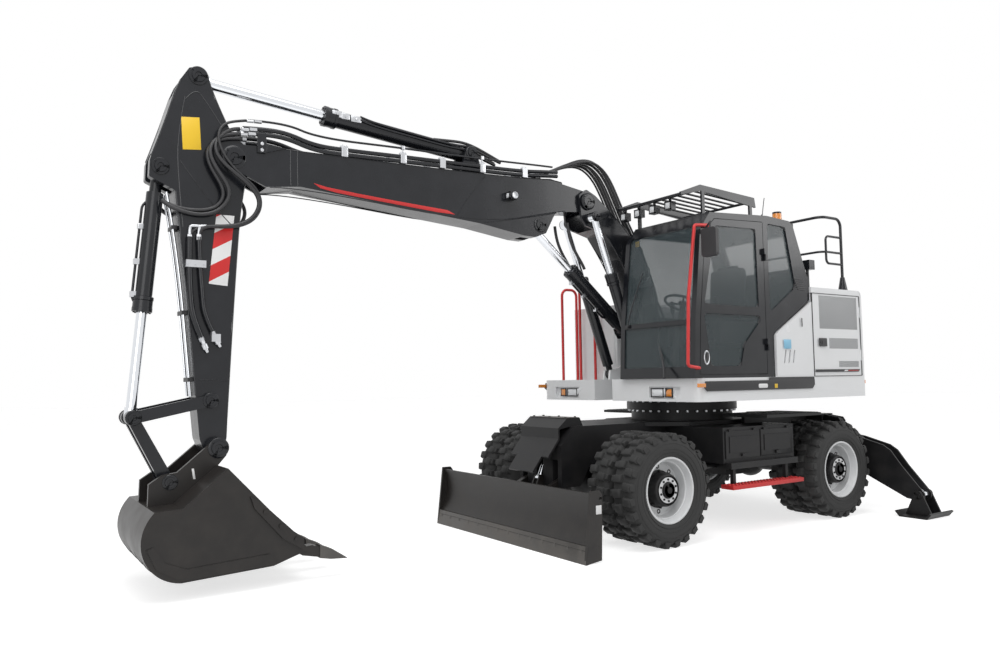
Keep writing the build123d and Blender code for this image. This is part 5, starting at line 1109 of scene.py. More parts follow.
class EXCAVATOR_OT_cylinder_trim(bpy.types.Operator):
    """Gland rings, ports, feed tubes and hoses of the cylinders"""
    bl_idname = "excavator.cylinder_trim"
    bl_label = "Cylinder trim"

    def execute(self, context):
        radius = context.scene.excavator_sizes.hose_radius
        self.arm_cylinder()
        base, eye = on_base_boom(0.374, -0.168), on_front_boom(0.632, -0.300)
        self.rings("adjust_cylinder_barrel", base, eye, 0.60, 0.0835)
        self.feed("adjust_cylinder_barrel", base, eye, 0.18, 0.57, 0.090, 0.011, -1)
        for number, y in enumerate((BOOM_Y - 0.106, BOOM_Y + 0.108)):
            bm = bmesh.new()
            hose(bm, ((-0.255, y, 3.175), (-0.265, y, 3.08), (-0.300, y, 2.96), (-0.385, y, 2.83),
                      (-0.455, y, 2.745), (-0.475, y, 2.700)), radius)
            piece = settle(bm, f"adjust_hose_{number + 1}", None, "hose_rubber")
            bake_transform(piece)
        self.rings("lift_cylinder_barrel", PIVOT["lift_cylinder_pivot"], on_base_boom(1.693, -0.084), 0.64,
                   0.070, 0.240)
        self.rings("bucket_cylinder_barrel", on_arm(0.170, 0.541), PIVOT["bucket_link_pivot"], 0.58, 0.072)
        self.feed("bucket_cylinder_barrel", on_arm(0.170, 0.541), PIVOT["bucket_link_pivot"], 0.14, 0.55,
                  0.078, 0.010, 1)
        return {"FINISHED"}

    def rings(self, body, base, eye, gland, radius, offset=None):
        """Two turned rings and a ring of bolts at the end where the rod comes out."""
        bm = bmesh.new()
        base, eye = in_middle(base), in_middle(eye)
        run = (eye - base).normalized()
        for side in (-1, 1) if offset else (0,):
            end = base + (eye - base) * gland + Vector((0, side * (offset or 0), 0))
            for profile in (
                ((-0.115, 0.90), (-0.110, 1.04), (-0.085, 1.04), (-0.080, 0.90)),
                ((-0.030, 0.95), (-0.026, 1.03), (0.004, 1.03), (0.008, 0.96), (0.008, 0.64), (0.002, 0.60)),
            ):
                lathe(bm, [(along, radius * share) for along, share in profile], end, run, steps=40)
            start = len(bm.verts)
            bolt = end + run.orthogonal().normalized() * radius * 0.80
            bar(bm, bolt + run * 0.004, bolt + run * 0.016, 0.008, segments=6)
            repeat_round(bm, start, end, run, 8)
        settle(bm, "rings_" + body, body, "gloss_black_paint")

    def feed(self, body, base, eye, start_share, end_share, away, radius, side):
        """A feed tube beside a barrel, with its clamps."""
        base, eye = in_middle(base), in_middle(eye)
        run = (eye - base).normalized()
        off = Vector((-run.z, 0, run.x)) * side * away
        start, end = base + (eye - base) * start_share, base + (eye - base) * end_share
        bm = bmesh.new()
        hose(bm, (start + off * 0.7, start + off * 1.05 + run * 0.03, start + off * 1.05 + run * 0.10,
                  end + off * 1.05 - run * 0.10, end + off * 1.05 - run * 0.03, end + off * 0.7), radius,
                  order=3)
        settle(bm, "feed_" + body, body, "gloss_black_paint")
        bm = bmesh.new()
        for share in (0.25, 0.6, 0.92):
            at = start + (end - start) * share + off * 0.98
            lump(bm, at, (0.022, 0.020, 0.022), 0.006)
        settle(bm, "feed_clamps_" + body, body, "fitting_steel")

    def arm_cylinder(self):
        base, eye = on_front_boom(1.402, 0.352), on_arm(-0.611, 0.308)
        body = "arm_cylinder_barrel"
        self.rings(body, base, eye, 0.575, 0.0875)
        run = (eye - base).normalized()
        bm = bmesh.new()
        for along, reach in ((1.20, 0.050), (1.30, 0.040), (1.38, 0.045)):
            at = base + run * along + Vector((0, 0.060, 0.020))
            block(bm, at - Vector((reach, 0.026, 0.028)), at + Vector((reach, 0.026, 0.030)), 0.007)
            bar(bm, at + Vector((0, 0.02, 0)), at + Vector((0, 0.036, 0)), 0.012, segments=6)
        settle(bm, "arm_cylinder_valve", body, "fitting_steel")
        bm = bmesh.new()
        for lift in (0.004, 0.034):
            points = [base + run * along + Vector((0, 0.080, lift + rise)) for along, rise in
                      ((1.16, 0.02), (1.05, 0.0), (0.70, 0.0), (0.30, 0.0), (0.10, 0.012), (-0.05, 0.04))]
            hose(bm, points, 0.010, order=3)
        settle(bm, "arm_cylinder_tubes", body, "gloss_black_paint")
        bm = bmesh.new()
        for route in (
            ((1.30, 0.088), (1.12, 0.100), (0.98, 0.115), (0.80, 0.072), (0.66, 0.020), (0.55, -0.02)),
            ((1.24, 0.055), (1.08, 0.065), (0.94, 0.080), (0.78, 0.040), (0.66, -0.005), (0.54, -0.035)),
        ):
            for y in (BOOM_Y - 0.050, BOOM_Y + 0.050):
                hose(bm, [(x, y, 3.75 + z) for x, z in route], 0.014)
        piece = settle(bm, "arm_cylinder_hoses", None, "hose_rubber")
        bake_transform(piece)


# Flat signs and stripes, all blank: name, body, finish, face they stand on, points as x from the front
# axle and height
SIGNS = (
    ("arm_plate", "arm", "yellow_plate", BOOM_Y + ARM_HALF,
     ((3.971, 3.638), (3.833, 3.655), (3.817, 3.397), (3.956, 3.380))),
    ("arm_hazard", "arm", "hazard_stripes", BOOM_Y + ARM_HALF,
     ((3.697, 2.893), (3.556, 2.893), (3.606, 2.322), (3.751, 2.334))),
    ("boom_stripe", "front_boom", "red_paint", BOOM_Y + BOOM_HALF,
     ((2.905, 3.239), (2.84, 3.201), (2.70, 3.181), (2.50, 3.166), (2.10, 3.140), (1.70, 3.115),
      (1.508, 3.113), (1.592, 3.146), (2.10, 3.172), (2.50, 3.196), (2.78, 3.218))),
    ("door_sticker", "upper", "sign_blue", SIDE_Y,
     ((-1.665, 1.915), (-1.780, 1.915), (-1.780, 1.820), (-1.665, 1.820))),
    ("sill_sign", "upper", "sign_white", SIDE_Y + 0.0042,
     ((-1.245, 1.466), (-1.365, 1.466), (-1.375, 1.456), (-1.375, 1.434), (-1.365, 1.424), (-1.245, 1.424),
      (-1.235, 1.434), (-1.235, 1.456))),
    ("sill_tag", "upper", "yellow_plate", SIDE_Y + 0.0042,
     ((-1.485, 1.462), (-1.530, 1.462), (-1.530, 1.420), (-1.485, 1.420))),
    ("strip_end_grey", "engine_door_left", "sign_white", SIDE_Y + 0.0022,
     ((-2.700, 1.597), (-2.760, 1.597), (-2.742, 1.583), (-2.682, 1.583))),
    ("strip_end_red", "engine_door_left", "sign_dark_red", SIDE_Y + 0.0022,
     ((-2.770, 1.597), (-2.960, 1.597), (-2.945, 1.583), (-2.752, 1.583))),
    ("blade_sticker", "blade", "sign_white", 1.258,
     ((0.913, 0.478), (0.853, 0.478), (0.853, 0.405), (0.913, 0.405))),
    ("bucket_sticker", "bucket", "sign_white", BOOM_Y + 0.2015,
     ((3.885, 0.905), (3.868, 0.905), (3.855, 0.825), (3.872, 0.825))),
)


class EXCAVATOR_OT_signs(bpy.types.Operator):
    """Blank plates, the hazard stripes and the boom's red stripe"""
    bl_idname = "excavator.signs"
    bl_label = "Signs and stripes"

    def execute(self, context):
        for name, body, finish, face, outline in SIGNS:
            bm = bmesh.new()
            plate(bm, outline_at(outline), face, 0.0018, 0.0005)
            if name.startswith("arm_") or name == "boom_stripe":
                plate(bm, outline_at(outline), 2 * BOOM_Y - face, -0.0018, 0.0005)
            settle(bm, name, body, finish)
        return {"FINISHED"}


def lamp_glass(name, body, finish, centre, size, towards=1):
    """A lamp's glass in its bezel, on a face that looks along X: a dished lens inside a rounded frame."""
    bm = bmesh.new()
    centre = Vector(centre)
    half = Vector((0.004, size[0] / 2, size[1] / 2))
    block(bm, centre - half, centre + half + Vector((0.003 * towards, 0, 0)), 0.003)
    lens = len(bm.verts)
    lathe(bm, ((0.004, min(size) * 0.44), (0.010, min(size) * 0.40), (0.013, min(size) * 0.20), (0.014, 0.0)),
          centre, (towards, 0, 0), steps=28)
    stretch = Matrix.Translation(-centre)
    bmesh.ops.scale(bm, vec=(1, size[0] / min(size), size[1] / min(size)), space=stretch,
                    verts=added(bm, lens)[0])
    settle(bm, name, body, finish)
    bm = bmesh.new()
    rim = 0.006
    for side in (-1, 1):
        block(bm, centre + Vector((-0.004, side * size[0] / 2 - rim, -size[1] / 2 - rim)),
              centre + Vector((0.010 * towards, side * size[0] / 2 + rim, size[1] / 2 + rim)), 0.002)
        block(bm, centre + Vector((-0.004, -size[0] / 2 - rim, side * size[1] / 2 - rim)),
              centre + Vector((0.010 * towards, size[0] / 2 + rim, side * size[1] / 2 + rim)), 0.002)
    settle(bm, name + "_bezel", body, "moulded_black")


class EXCAVATOR_OT_lamps(bpy.types.Operator):
    """Glasses of the work lamps, deck lamps and boom lamp, the beacon and the reflectors"""
    bl_idname = "excavator.lamps"
    bl_label = "Lamps"

    def execute(self, context):
        for number, y in enumerate((0.160, 0.372, 0.592, 0.812)):
            lamp_glass(f"work_lamp_{number + 1}", "upper", "lamp_lens", (FRONT_AXLE_X - 0.498, y, 3.2645),
                       (0.074, 0.074))
        for name, side in SIDES:
            front = FRONT_AXLE_X - 0.421
            lamp_glass("head_lamp_" + name, "upper", "lamp_lens", (front + 0.002, side * 0.675, 1.3915),
                       (0.165, 0.082))
            lamp_glass("turn_lamp_" + name, "upper", "amber_lens", (front + 0.002, side * 0.835, 1.3915),
                       (0.085, 0.082))
            self.side_reflectors(name, side)
            self.tail_lamps(name, side)
        lamp_glass("boom_lamp", "front_boom", "lamp_lens", on_front_boom(1.038, -0.047, BOOM_Y + 0.184),
                   (0.058, 0.058))
        self.boom_lamp_ring()
        lamp_glass("rear_work_lamp", "upper", "lamp_lens", (FRONT_AXLE_X - 2.363, 1.100, 2.7475),
                   (0.095, 0.090), -1)
        self.beacon()
        return {"FINISHED"}

    def side_reflectors(self, name, side):
        bm = bmesh.new()
        for x, reach, y in ((-0.419, 0.055, SIDE_Y), (-3.117, 0.045, 1.193)):
            at = Vector((FRONT_AXLE_X + x, side * (y + 0.001), 1.462))
            lump(bm, at, (reach, 0.006, 0.019), 0.004)
        settle(bm, "reflectors_" + name, "upper", "amber_lens")

    def tail_lamps(self, name, side):
        """Rear lamps on the tail's round face."""
        reach = 1.02
        x = PIVOT["slew"].x - (TAIL_RADIUS ** 2 - reach ** 2) ** 0.5
        bm = bmesh.new()
        at = Vector((x + 0.002, side * reach, 1.62))
        lump(bm, at, (0.018, 0.075, 0.035), 0.006)
        turn = Matrix.Rotation(-side * 0.52, 3, "Z")
        bmesh.ops.rotate(bm, cent=at, matrix=turn, verts=bm.verts)
        settle(bm, "tail_lamp_" + name, "upper", "red_lens")

    def boom_lamp_ring(self):
        bm = bmesh.new()
        centre = on_front_boom(0.990, -0.047, BOOM_Y + 0.219)
        profile = ((0.0, 0.030), (0.010, 0.036), (0.018, 0.034), (0.016, 0.027), (0.006, 0.024), (0.004, 0.0))
        lathe(bm, profile, centre, (0, 1, 0), steps=36)
        settle(bm, "boom_lamp_ring", "front_boom", "fitting_steel")

    def beacon(self):
        centre = Vector((FRONT_AXLE_X - 2.000, 0.970, 3.2203))
        bm = bmesh.new()
        profile = ((0.0, 0.0), (0.0, 0.052), (0.012, 0.052), (0.020, 0.0495), (0.080, 0.0490), (0.098, 0.044),
                   (0.107, 0.030), (0.109, 0.0))
        lathe(bm, profile, centre, (0, 0, 1), steps=40)
        for number in range(5):
            rib = [(up + number * 0.013, out)
                   for up, out in ((0.024, 0.0488), (0.029, 0.0505), (0.034, 0.0488))]
            lathe(bm, rib, centre, (0, 0, 1), steps=40)
        settle(bm, "beacon_dome", "upper", "amber_lens")


class EXCAVATOR_OT_body_trim(bpy.types.Operator):
    """Seams, grille sheets, latches, name strip, sill bands and louvres of the white body"""
    bl_idname = "excavator.body_trim"
    bl_label = "Body trim"
    # Grilles of the doors, from the front axle: front end, rear end, bottom, top
    grilles = ((-2.290, -2.985, 2.043, 2.400), (-2.451, -2.985, 1.829, 1.943), (-2.615, -2.985, 1.627, 1.694))

    def execute(self, context):
        for name, side in SIDES:
            self.door(name, side)
            self.sill(name, side)
        self.left_panel()
        self.hood()
        return {"FINISHED"}

    def door(self, name, side):
        body = "engine_door_" + name
        bm = bmesh.new()
        for front, rear, bottom, top in self.grilles:
            low = Vector((FRONT_AXLE_X + rear + 0.001, side * (SIDE_Y - 0.0138), bottom + 0.001))
            high = Vector((FRONT_AXLE_X + front - 0.001, side * (SIDE_Y - 0.0110), top - 0.001))
            block(bm, low, high, 0.0005)
        # The grille sheets carry painted shade: dark dots in place of their holes.
        settle(bm, "grille_sheet_" + name, body, "sheet_with_hole_shade")
        bm = bmesh.new()
        for front, rear, bottom, top in self.grilles:
            outline = outline_at(((front + 0.012, bottom - 0.012), (rear - 0.012, bottom - 0.012),
                                  (rear - 0.012, top + 0.012), (front + 0.012, top + 0.012)))
            corners = [(x, side * SIDE_Y, z) for x, z in outline]
            for start, end in zip(corners, corners[1:] + corners[:1]):
                straight(bm, start, end, 0.0045, sides=2)
        settle(bm, "grille_frame_" + name, body, "body_white_paint")
        bm = bmesh.new()
        x = FRONT_AXLE_X - 2.323
        y = side * SIDE_Y
        block(bm, (x - 0.066, y - 0.002, 1.850), (x + 0.066, y + side * 0.010, 1.940), 0.010)
        block(bm, (x - 0.040, y, 1.872), (x + 0.030, y + side * 0.016, 1.912), 0.006)
        bar(bm, (x + 0.046, y, 1.895), (x + 0.046, y + side * 0.014, 1.895), 0.010, segments=16)
        settle(bm, "door_latch_" + name, body, "moulded_black")
        bm = bmesh.new()
        strip = outline_at(((-2.180, 1.604), (-2.180, 1.576), (-2.960, 1.576), (-2.988, 1.604)))
        plate(bm, strip, y, side * 0.002, 0.0006)
        settle(bm, "door_strip_" + name, body, "moulded_black")

    def sill(self, name, side):
        """Black bands along the deck's side below the cab, and dark strips of painted shade in the gaps round
        the engine door.
        """
        bm = bmesh.new()
        y = side * (SIDE_Y - 0.001)
        band = ((-0.470, 1.500), (-0.450, 1.440), (-0.490, 1.405), (-2.110, 1.405), (-2.150, 1.445),
                (-2.150, 1.500))
        plate(bm, outline_at(band), y, side * 0.005, 0.0015)
        upper_band = ((-1.410, 1.500), (-1.410, 1.5285), (-2.146, 1.5285), (-2.146, 1.500))
        plate(bm, outline_at(upper_band), y, side * 0.004, 0.0015)
        settle(bm, "sill_band_" + name, "upper", "moulded_black")
        bm = bmesh.new()
        low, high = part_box("engine_door_" + name)
        # Dark rubber strips in the gaps round the door: painted shade of the gaps.
        for x in (low.x - 0.003, high.x + 0.003):
            block(bm, (x - 0.0035, side * (SIDE_Y - 0.020), low.z),
                  (x + 0.0035, side * (SIDE_Y - 0.004), high.z), 0.001)
        for z in (low.z - 0.003, high.z + 0.003):
            block(bm, (low.x, side * (SIDE_Y - 0.020), z - 0.0028),
                  (high.x, side * (SIDE_Y - 0.004), z + 0.0028), 0.001)
        settle(bm, "door_gap_shade_" + name, "upper", "hose_rubber")

    def left_panel(self):
        """The side panel's slot handle, a dark sheet of painted shade behind its slots, and the cab's louvre.
        """
        bm = bmesh.new()
        y = SIDE_Y
        block(bm, (FRONT_AXLE_X - 1.980, y - 0.001, 2.055), (FRONT_AXLE_X - 1.966, y + 0.004, 2.145), 0.003)
        # A dark sheet behind the slots: painted shade seen through them.
        block(bm, (FRONT_AXLE_X - 1.900, y - 0.033, 1.650), (FRONT_AXLE_X - 1.640, y - 0.0302, 1.830), 0.001)
        settle(bm, "panel_handle_and_slot_shade", "upper", "moulded_black")
        bm = bmesh.new()
        for number in range(6):
            z = 2.445 + number * 0.022
            lean = 0.012 * number
            block(bm, (FRONT_AXLE_X - 2.095 + lean, 1.219, z),
                  (FRONT_AXLE_X - 1.965 + lean, 1.226, z + 0.010), 0.003)
        settle(bm, "cab_louvre", "upper", "moulded_black")

    def hood(self):
        """Panel lines, vents and lift rings on the hood and the tail's top."""
        low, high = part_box("engine_house")
        tail_low, tail_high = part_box("counterweight")
        bm = bmesh.new()
        for y in (-0.75, 0.45):
            straight(bm, (low.x + 0.03, y, high.z), (high.x - 0.47, y, high.z), 0.004, sides=2)
        for number in range(12):
            x = low.x + 0.12 + number * 0.045
            block(bm, (x, -0.62, high.z - 0.002), (x + 0.022, 0.20, high.z + 0.004), 0.002)
        settle(bm, "hood_vents", "upper", "moulded_black")
        bm = bmesh.new()
        for side in (-1, 1):
            at = Vector(((tail_low.x + tail_high.x) / 2, side * 0.62, tail_high.z))
            ring = [at + Vector((0, y, z))
                    for y, z in ((-0.06, -0.01), (-0.06, 0.09), (0.06, 0.09), (0.06, -0.01))]
            hose(bm, ring, 0.016, order=3)
            lathe(bm, ((-0.004, 0.10), (0.006, 0.095), (0.006, 0.0)), at, (0, 0, 1), steps=32)
        settle(bm, "tail_rings", "upper", "gloss_black_paint")
        bm = bmesh.new()
        for z in (1.40, 2.05):
            steps = 24
            points = []
            for step in range(steps + 1):
                y = -1.10 + 2.20 * step / steps
                points.append((PIVOT["slew"].x - ((TAIL_RADIUS + 0.001) ** 2 - y * y) ** 0.5, y, z))
            hose(bm, points, 0.004, order=3, steps=2, sides=2)
        settle(bm, "tail_lines", "upper", "hose_rubber")


class EXCAVATOR_OT_cab_trim(bpy.types.Operator):
    """Seals, wiper, handle, tags, strut and aerial of the cab, and the mirror's glass"""
    bl_idname = "excavator.cab_trim"
    bl_label = "Cab trim"
    door_window = ((-1.325, 2.235), (-1.312, 3.035), (-0.715, 3.015), (-0.530, 2.245))
    low_window = ((-1.340, 2.150), (-1.340, 2.095), (-1.090, 1.860), (-1.030, 1.645), (-0.600, 1.645),
                  (-0.520, 2.150))
    quarter_window = ((-1.500, 3.110), (-1.790, 3.100), (-1.930, 2.470), (-1.500, 2.190))

    def execute(self, context):
        self.seal("door_seals", "cab_door", (self.door_window, self.low_window))
        self.seal("quarter_seal", "upper", (self.quarter_window,))
        self.screen()
        self.door_handle()
        self.mirror_glass()
        self.roof_pieces()
        bm = bmesh.new()
        hose(bm, ((-0.905, 0.70, 2.11), (-0.862, 0.60, 2.02), (-0.700, 0.88, 1.62), (-0.640, 0.92, 1.535)),
             0.011, order=3)
        lathe(bm, ((0.0, 0.05), (0.014, 0.046), (0.02, 0.02), (0.02, 0.0)), (-0.855, 0.92, 1.530), (0, 0, 1),
              steps=24)
        settle(bm, "screen_strut", "upper", "moulded_black")
        return {"FINISHED"}

    def seal(self, name, body, outlines):
        """A rubber seal round each window's edge."""
        bm = bmesh.new()
        for outline in outlines:
            corners = [Vector((FRONT_AXLE_X + x, CAB_SIDE_Y - 0.012, z)) for x, z in outline]
            for before, corner, after in zip(corners[-1:] + corners, corners, corners[1:] + corners[:1]):
                near = corner + (before - corner).normalized() * 0.04
                far = corner + (after - corner).normalized() * 0.04
                hose(bm, (near, corner, far), 0.009, order=3, steps=6)
                reach = after + (corner - after).normalized() * 0.04
                straight(bm, far, reach, 0.009)
        settle(bm, name, body, "hose_rubber")

    def screen(self):
        bm = bmesh.new()
        for z_1, z_2, x_1, x_2 in ((2.095, 3.010, -0.412, -0.560), (1.640, 2.045, -0.388, -0.410)):
            for y in (0.250, 1.155):
                straight(bm, (FRONT_AXLE_X + x_1, y, z_1), (FRONT_AXLE_X + x_2, y, z_2), 0.008)
            for x, z in ((x_1, z_1), (x_2, z_2)):
                straight(bm, (FRONT_AXLE_X + x, 0.250, z), (FRONT_AXLE_X + x, 1.155, z), 0.008)
        settle(bm, "screen_seals", "upper", "hose_rubber")
        bm = bmesh.new()
        pivot = Vector((FRONT_AXLE_X - 0.392, 0.30, 2.075))
        bar(bm, pivot - Vector((0.02, 0, 0)), pivot + Vector((0.02, 0, 0)), 0.018)
        tip = Vector((FRONT_AXLE_X - 0.450, 0.48, 2.62))
        hose(bm, (pivot + Vector((0.012, 0, 0)), pivot + Vector((0.014, 0.06, 0.18)), tip), 0.006, order=3)
        straight(bm, tip + Vector((0.024, -0.01, -0.28)), tip + Vector((0.008, 0.02, 0.22)), 0.0075)
        settle(bm, "screen_wiper", "upper", "moulded_black")
        bm = bmesh.new()
        at = Vector((FRONT_AXLE_X - 0.553, 0.300, 2.955))
        lump(bm, at, (0.002, 0.028, 0.030), 0.001)
        settle(bm, "screen_tag", "upper", "yellow_plate")

    def door_handle(self):
        centre = Vector((FRONT_AXLE_X - 0.535, CAB_SIDE_Y, 1.725))
        bm = bmesh.new()
        lathe(bm, ((-0.001, 0.052), (0.006, 0.050), (0.009, 0.045), (0.006, 0.040), (0.002, 0.038)), centre,
              (0, 1, 0), 40)
        bmesh.ops.scale(bm, vec=(0.75, 1, 1.35), space=Matrix.Translation(-centre), verts=bm.verts)
        settle(bm, "handle_rim", "cab_door", "fitting_steel")
        bm = bmesh.new()
        lathe(bm, ((0.003, 0.040), (0.001, 0.030), (0.001, 0.0)), centre, (0, 1, 0), 40)
        bmesh.ops.scale(bm, vec=(0.75, 1, 1.35), space=Matrix.Translation(-centre), verts=bm.verts)
        block(bm, centre + Vector((-0.018, 0, -0.004)), centre + Vector((0.018, 0.014, 0.044)), 0.005)
        settle(bm, "handle_grip", "cab_door", "moulded_black")

    def mirror_glass(self):
        bm = bmesh.new()
        start = len(bm.verts)
        block(bm, (-0.8045, 1.345, 2.675), (-0.8005, 1.495, 2.915), 0.001)
        upright = [e for e in added(bm, start)[1] if abs(e.verts[0].co.x - e.verts[1].co.x) > 0.0015]
        soften(bm, upright, 0.0004, 1)
        settle(bm, "mirror_glass", "upper", "glass_mirror")

    def roof_pieces(self):
        bm = bmesh.new()
        hose(bm, ((FRONT_AXLE_X - 1.540, 1.130, 3.140), (FRONT_AXLE_X - 1.545, 1.132, 3.24),
                  (FRONT_AXLE_X - 1.575, 1.14, 3.40)), 0.004, order=3)
        lathe(bm, ((-0.02, 0.030), (0.02, 0.026), (0.045, 0.010), (0.06, 0.006)),
              (FRONT_AXLE_X - 1.540, 1.130, 3.165), (0, 0, 1), 24)
        block(bm, (FRONT_AXLE_X - 1.945, 1.135, 3.055), (FRONT_AXLE_X - 1.835, 1.215, 3.155), 0.012)
        settle(bm, "roof_aerial", "upper", "moulded_black")
        bm = bmesh.new()
        for y in (0.32, 0.52, 0.72, 0.92, 1.08):
            straight(bm, (FRONT_AXLE_X - 1.48, y, 3.192), (FRONT_AXLE_X - 1.80, y, 3.176), 0.008, sides=2)
        settle(bm, "roof_ribs", "upper", "gloss_black_paint")


class EXCAVATOR_OT_cab_inside(bpy.types.Operator):
    """The driver's seat with its cushions, the wheel, levers, consoles and floor mat"""
    bl_idname = "excavator.cab_inside"
    bl_label = "Inside of the cab"

    def execute(self, context):
        low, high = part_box("seat")
        middle = (low.y + high.y) / 2
        base = self.seat_base(low, high, middle)
        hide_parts("seat")
        thigh = self.cushion("seat_cushion", (low.x + 0.030, middle - 0.235, low.z + 0.325),
                             (high.x - 0.010, middle + 0.235, low.z + 0.445), 0.030)
        back = self.cushion("seat_back", (low.x + 0.020, middle - 0.215, low.z + 0.450),
                            (low.x + 0.150, middle + 0.215, low.z + 1.120), 0.028)
        bmesh_lean(back, Vector((low.x + 0.085, middle, low.z + 0.45)), radians(4.0))
        rest = self.cushion("seat_headrest", (low.x + 0.000, middle - 0.130, low.z + 1.020),
                            (low.x + 0.085, middle + 0.130, low.z + 1.150), 0.020)
        self.consoles(low, high, middle)
        self.wheel(low, middle)
        return {"FINISHED"}

    def cushion(self, name, low, high, crown):
        """A crowned closed form: a box with its faces swollen and its edges pulled in."""
        bm = bmesh.new()
        low, high = Vector(low), Vector(high)
        centre, size = (low + high) / 2, high - low
        bmesh.ops.create_cube(bm, size=1.0, matrix=Matrix.Translation(centre) @ Matrix.Diagonal((*size, 1)))
        bmesh.ops.subdivide_edges(bm, edges=bm.edges, cuts=7, use_grid_fill=True)
        thin = min(range(3), key=lambda axis: size[axis])
        across = [axis for axis in range(3) if axis != thin]
        for vert in bm.verts:
            part = [(vert.co[axis] - centre[axis]) / (size[axis] / 2) for axis in range(3)]
            swell = (1 - part[across[0]] ** 2) * (1 - part[across[1]] ** 2)
            vert.co[thin] = centre[thin] + (vert.co[thin] - centre[thin]) * (0.72 + 0.28 * swell)
            for axis in across:
                vert.co[axis] -= part[axis] * crown * 0.4 * part[thin] ** 2
        seam = [e for e in bm.edges if all(abs(v.co[across[0]] - centre[across[0]]) < size[across[0]] * 0.03
                                           for v in e.verts)]
        soften(bm, seam, 0.004, 2)
        piece = settle(bm, name, "upper", "seat_cloth", 80)
        rounding = piece.modifiers.new("rounding", "SUBSURF")
        rounding.levels = 2
        rounding.render_levels = 2
        return piece

    def seat_base(self, low, high, middle):
        bm = bmesh.new()
        block(bm, (low.x + 0.06, middle - 0.20, low.z), (high.x - 0.10, middle + 0.20, low.z + 0.05), 0.01)
        for number in range(6):
            z = low.z + 0.05 + number * 0.035
            shrink = 0.012 * (number % 2)
            block(bm, (low.x + 0.08 + shrink, middle - 0.17 + shrink, z),
                  (high.x - 0.12 - shrink, middle + 0.17 - shrink, z + 0.036), 0.008)
        block(bm, (low.x + 0.03, middle - 0.22, low.z + 0.26), (high.x - 0.03, middle + 0.22, low.z + 0.325),
              0.015)
        for side in (-1, 1):
            bar(bm, (low.x + 0.05, middle + side * 0.06, low.z + 0.98),
                (low.x + 0.045, middle + side * 0.06, low.z + 1.05), 0.008)
        return settle(bm, "seat_base", "upper", "moulded_black")

    def consoles(self, low, high, middle):
        bm = bmesh.new()
        for side in (-1, 1):
            y = middle + side * 0.315
            block(bm, (low.x + 0.06, y - 0.055, low.z + 0.30), (high.x + 0.06, y + 0.055, low.z + 0.52), 0.02)
            block(bm, (low.x + 0.05, y - 0.045, low.z + 0.56), (low.x + 0.32, y + 0.045, low.z + 0.60), 0.015)
            lever = Vector((high.x + 0.01, y, low.z + 0.52))
            hose(bm, (lever, lever + Vector((0.0, 0, 0.07)), lever + Vector((0.02, -side * 0.01, 0.13))),
                 0.009, order=3)
            knob = ((0.0, 0.016), (0.03, 0.022), (0.07, 0.024), (0.105, 0.030), (0.13, 0.024), (0.14, 0.0))
            lathe(bm, knob, lever + Vector((0.018, -side * 0.008, 0.12)), (0.12, -side * 0.05, 1), 20)
            lathe(bm, ((0.0, 0.045), (0.02, 0.036), (0.03, 0.026), (0.045, 0.014)), lever, (0, 0, 1), 24)
        block(bm, (FRONT_AXLE_X - 0.640, 0.240, 2.08), (FRONT_AXLE_X - 0.600, 0.275, 2.36), 0.008)
        block(bm, (FRONT_AXLE_X - 0.660, 0.240, 2.32), (FRONT_AXLE_X - 0.625, 0.420, 2.50), 0.010)
        floor = (FRONT_AXLE_X - 1.45, FRONT_AXLE_X - 0.46)
        for number in range(12):
            y = 0.27 + number * 0.07
            block(bm, (floor[0], y, low.z + 0.001), (floor[1], y + 0.045, low.z + 0.009), 0.003)
        for y in (0.56, 0.66, 0.80):
            block(bm, (FRONT_AXLE_X - 0.70, y - 0.035, low.z + 0.05),
                  (FRONT_AXLE_X - 0.60, y + 0.035, low.z + 0.075), 0.008)
            bar(bm, (FRONT_AXLE_X - 0.64, y, low.z), (FRONT_AXLE_X - 0.65, y, low.z + 0.05), 0.012)
        settle(bm, "cab_consoles", "upper", "moulded_black")

    def wheel(self, low, middle):
        bm = bmesh.new()
        axis = Vector((-0.45, 0, 1)).normalized()
        foot = Vector((FRONT_AXLE_X - 0.600, middle, low.z + 0.002))
        hub = Vector((FRONT_AXLE_X - 0.790, middle, low.z + 0.720))
        bar(bm, foot, hub - axis * 0.03, 0.045, 0.028, edge=0.004)
        ring = [(0.014 * cos(pi * k / 6), 0.190 + 0.014 * sin(pi * k / 6)) for k in range(12)]
        lathe(bm, ring, hub, axis, 56, closed=True)
        lathe(bm, ((-0.03, 0.030), (0.0, 0.055), (0.014, 0.050), (0.018, 0.0)), hub, axis, 32)
        side = axis.orthogonal().normalized()
        for number in range(3):
            turn = Matrix.Rotation(2 * pi * number / 3, 3, axis)
            bar(bm, hub + turn @ side * 0.03, hub + turn @ side * 0.19, 0.011, 0.008)
        settle(bm, "steering_wheel", "upper", "moulded_black")


def bmesh_lean(piece, centre, angle):
    """Leans a finished piece back round a line along Y."""
    bm = bmesh.new()
    bm.from_mesh(piece.data)
    bmesh.ops.rotate(bm, cent=centre, matrix=Matrix.Rotation(-angle, 3, "Y"), verts=bm.verts)
    bm.to_mesh(piece.data)
    bm.free()


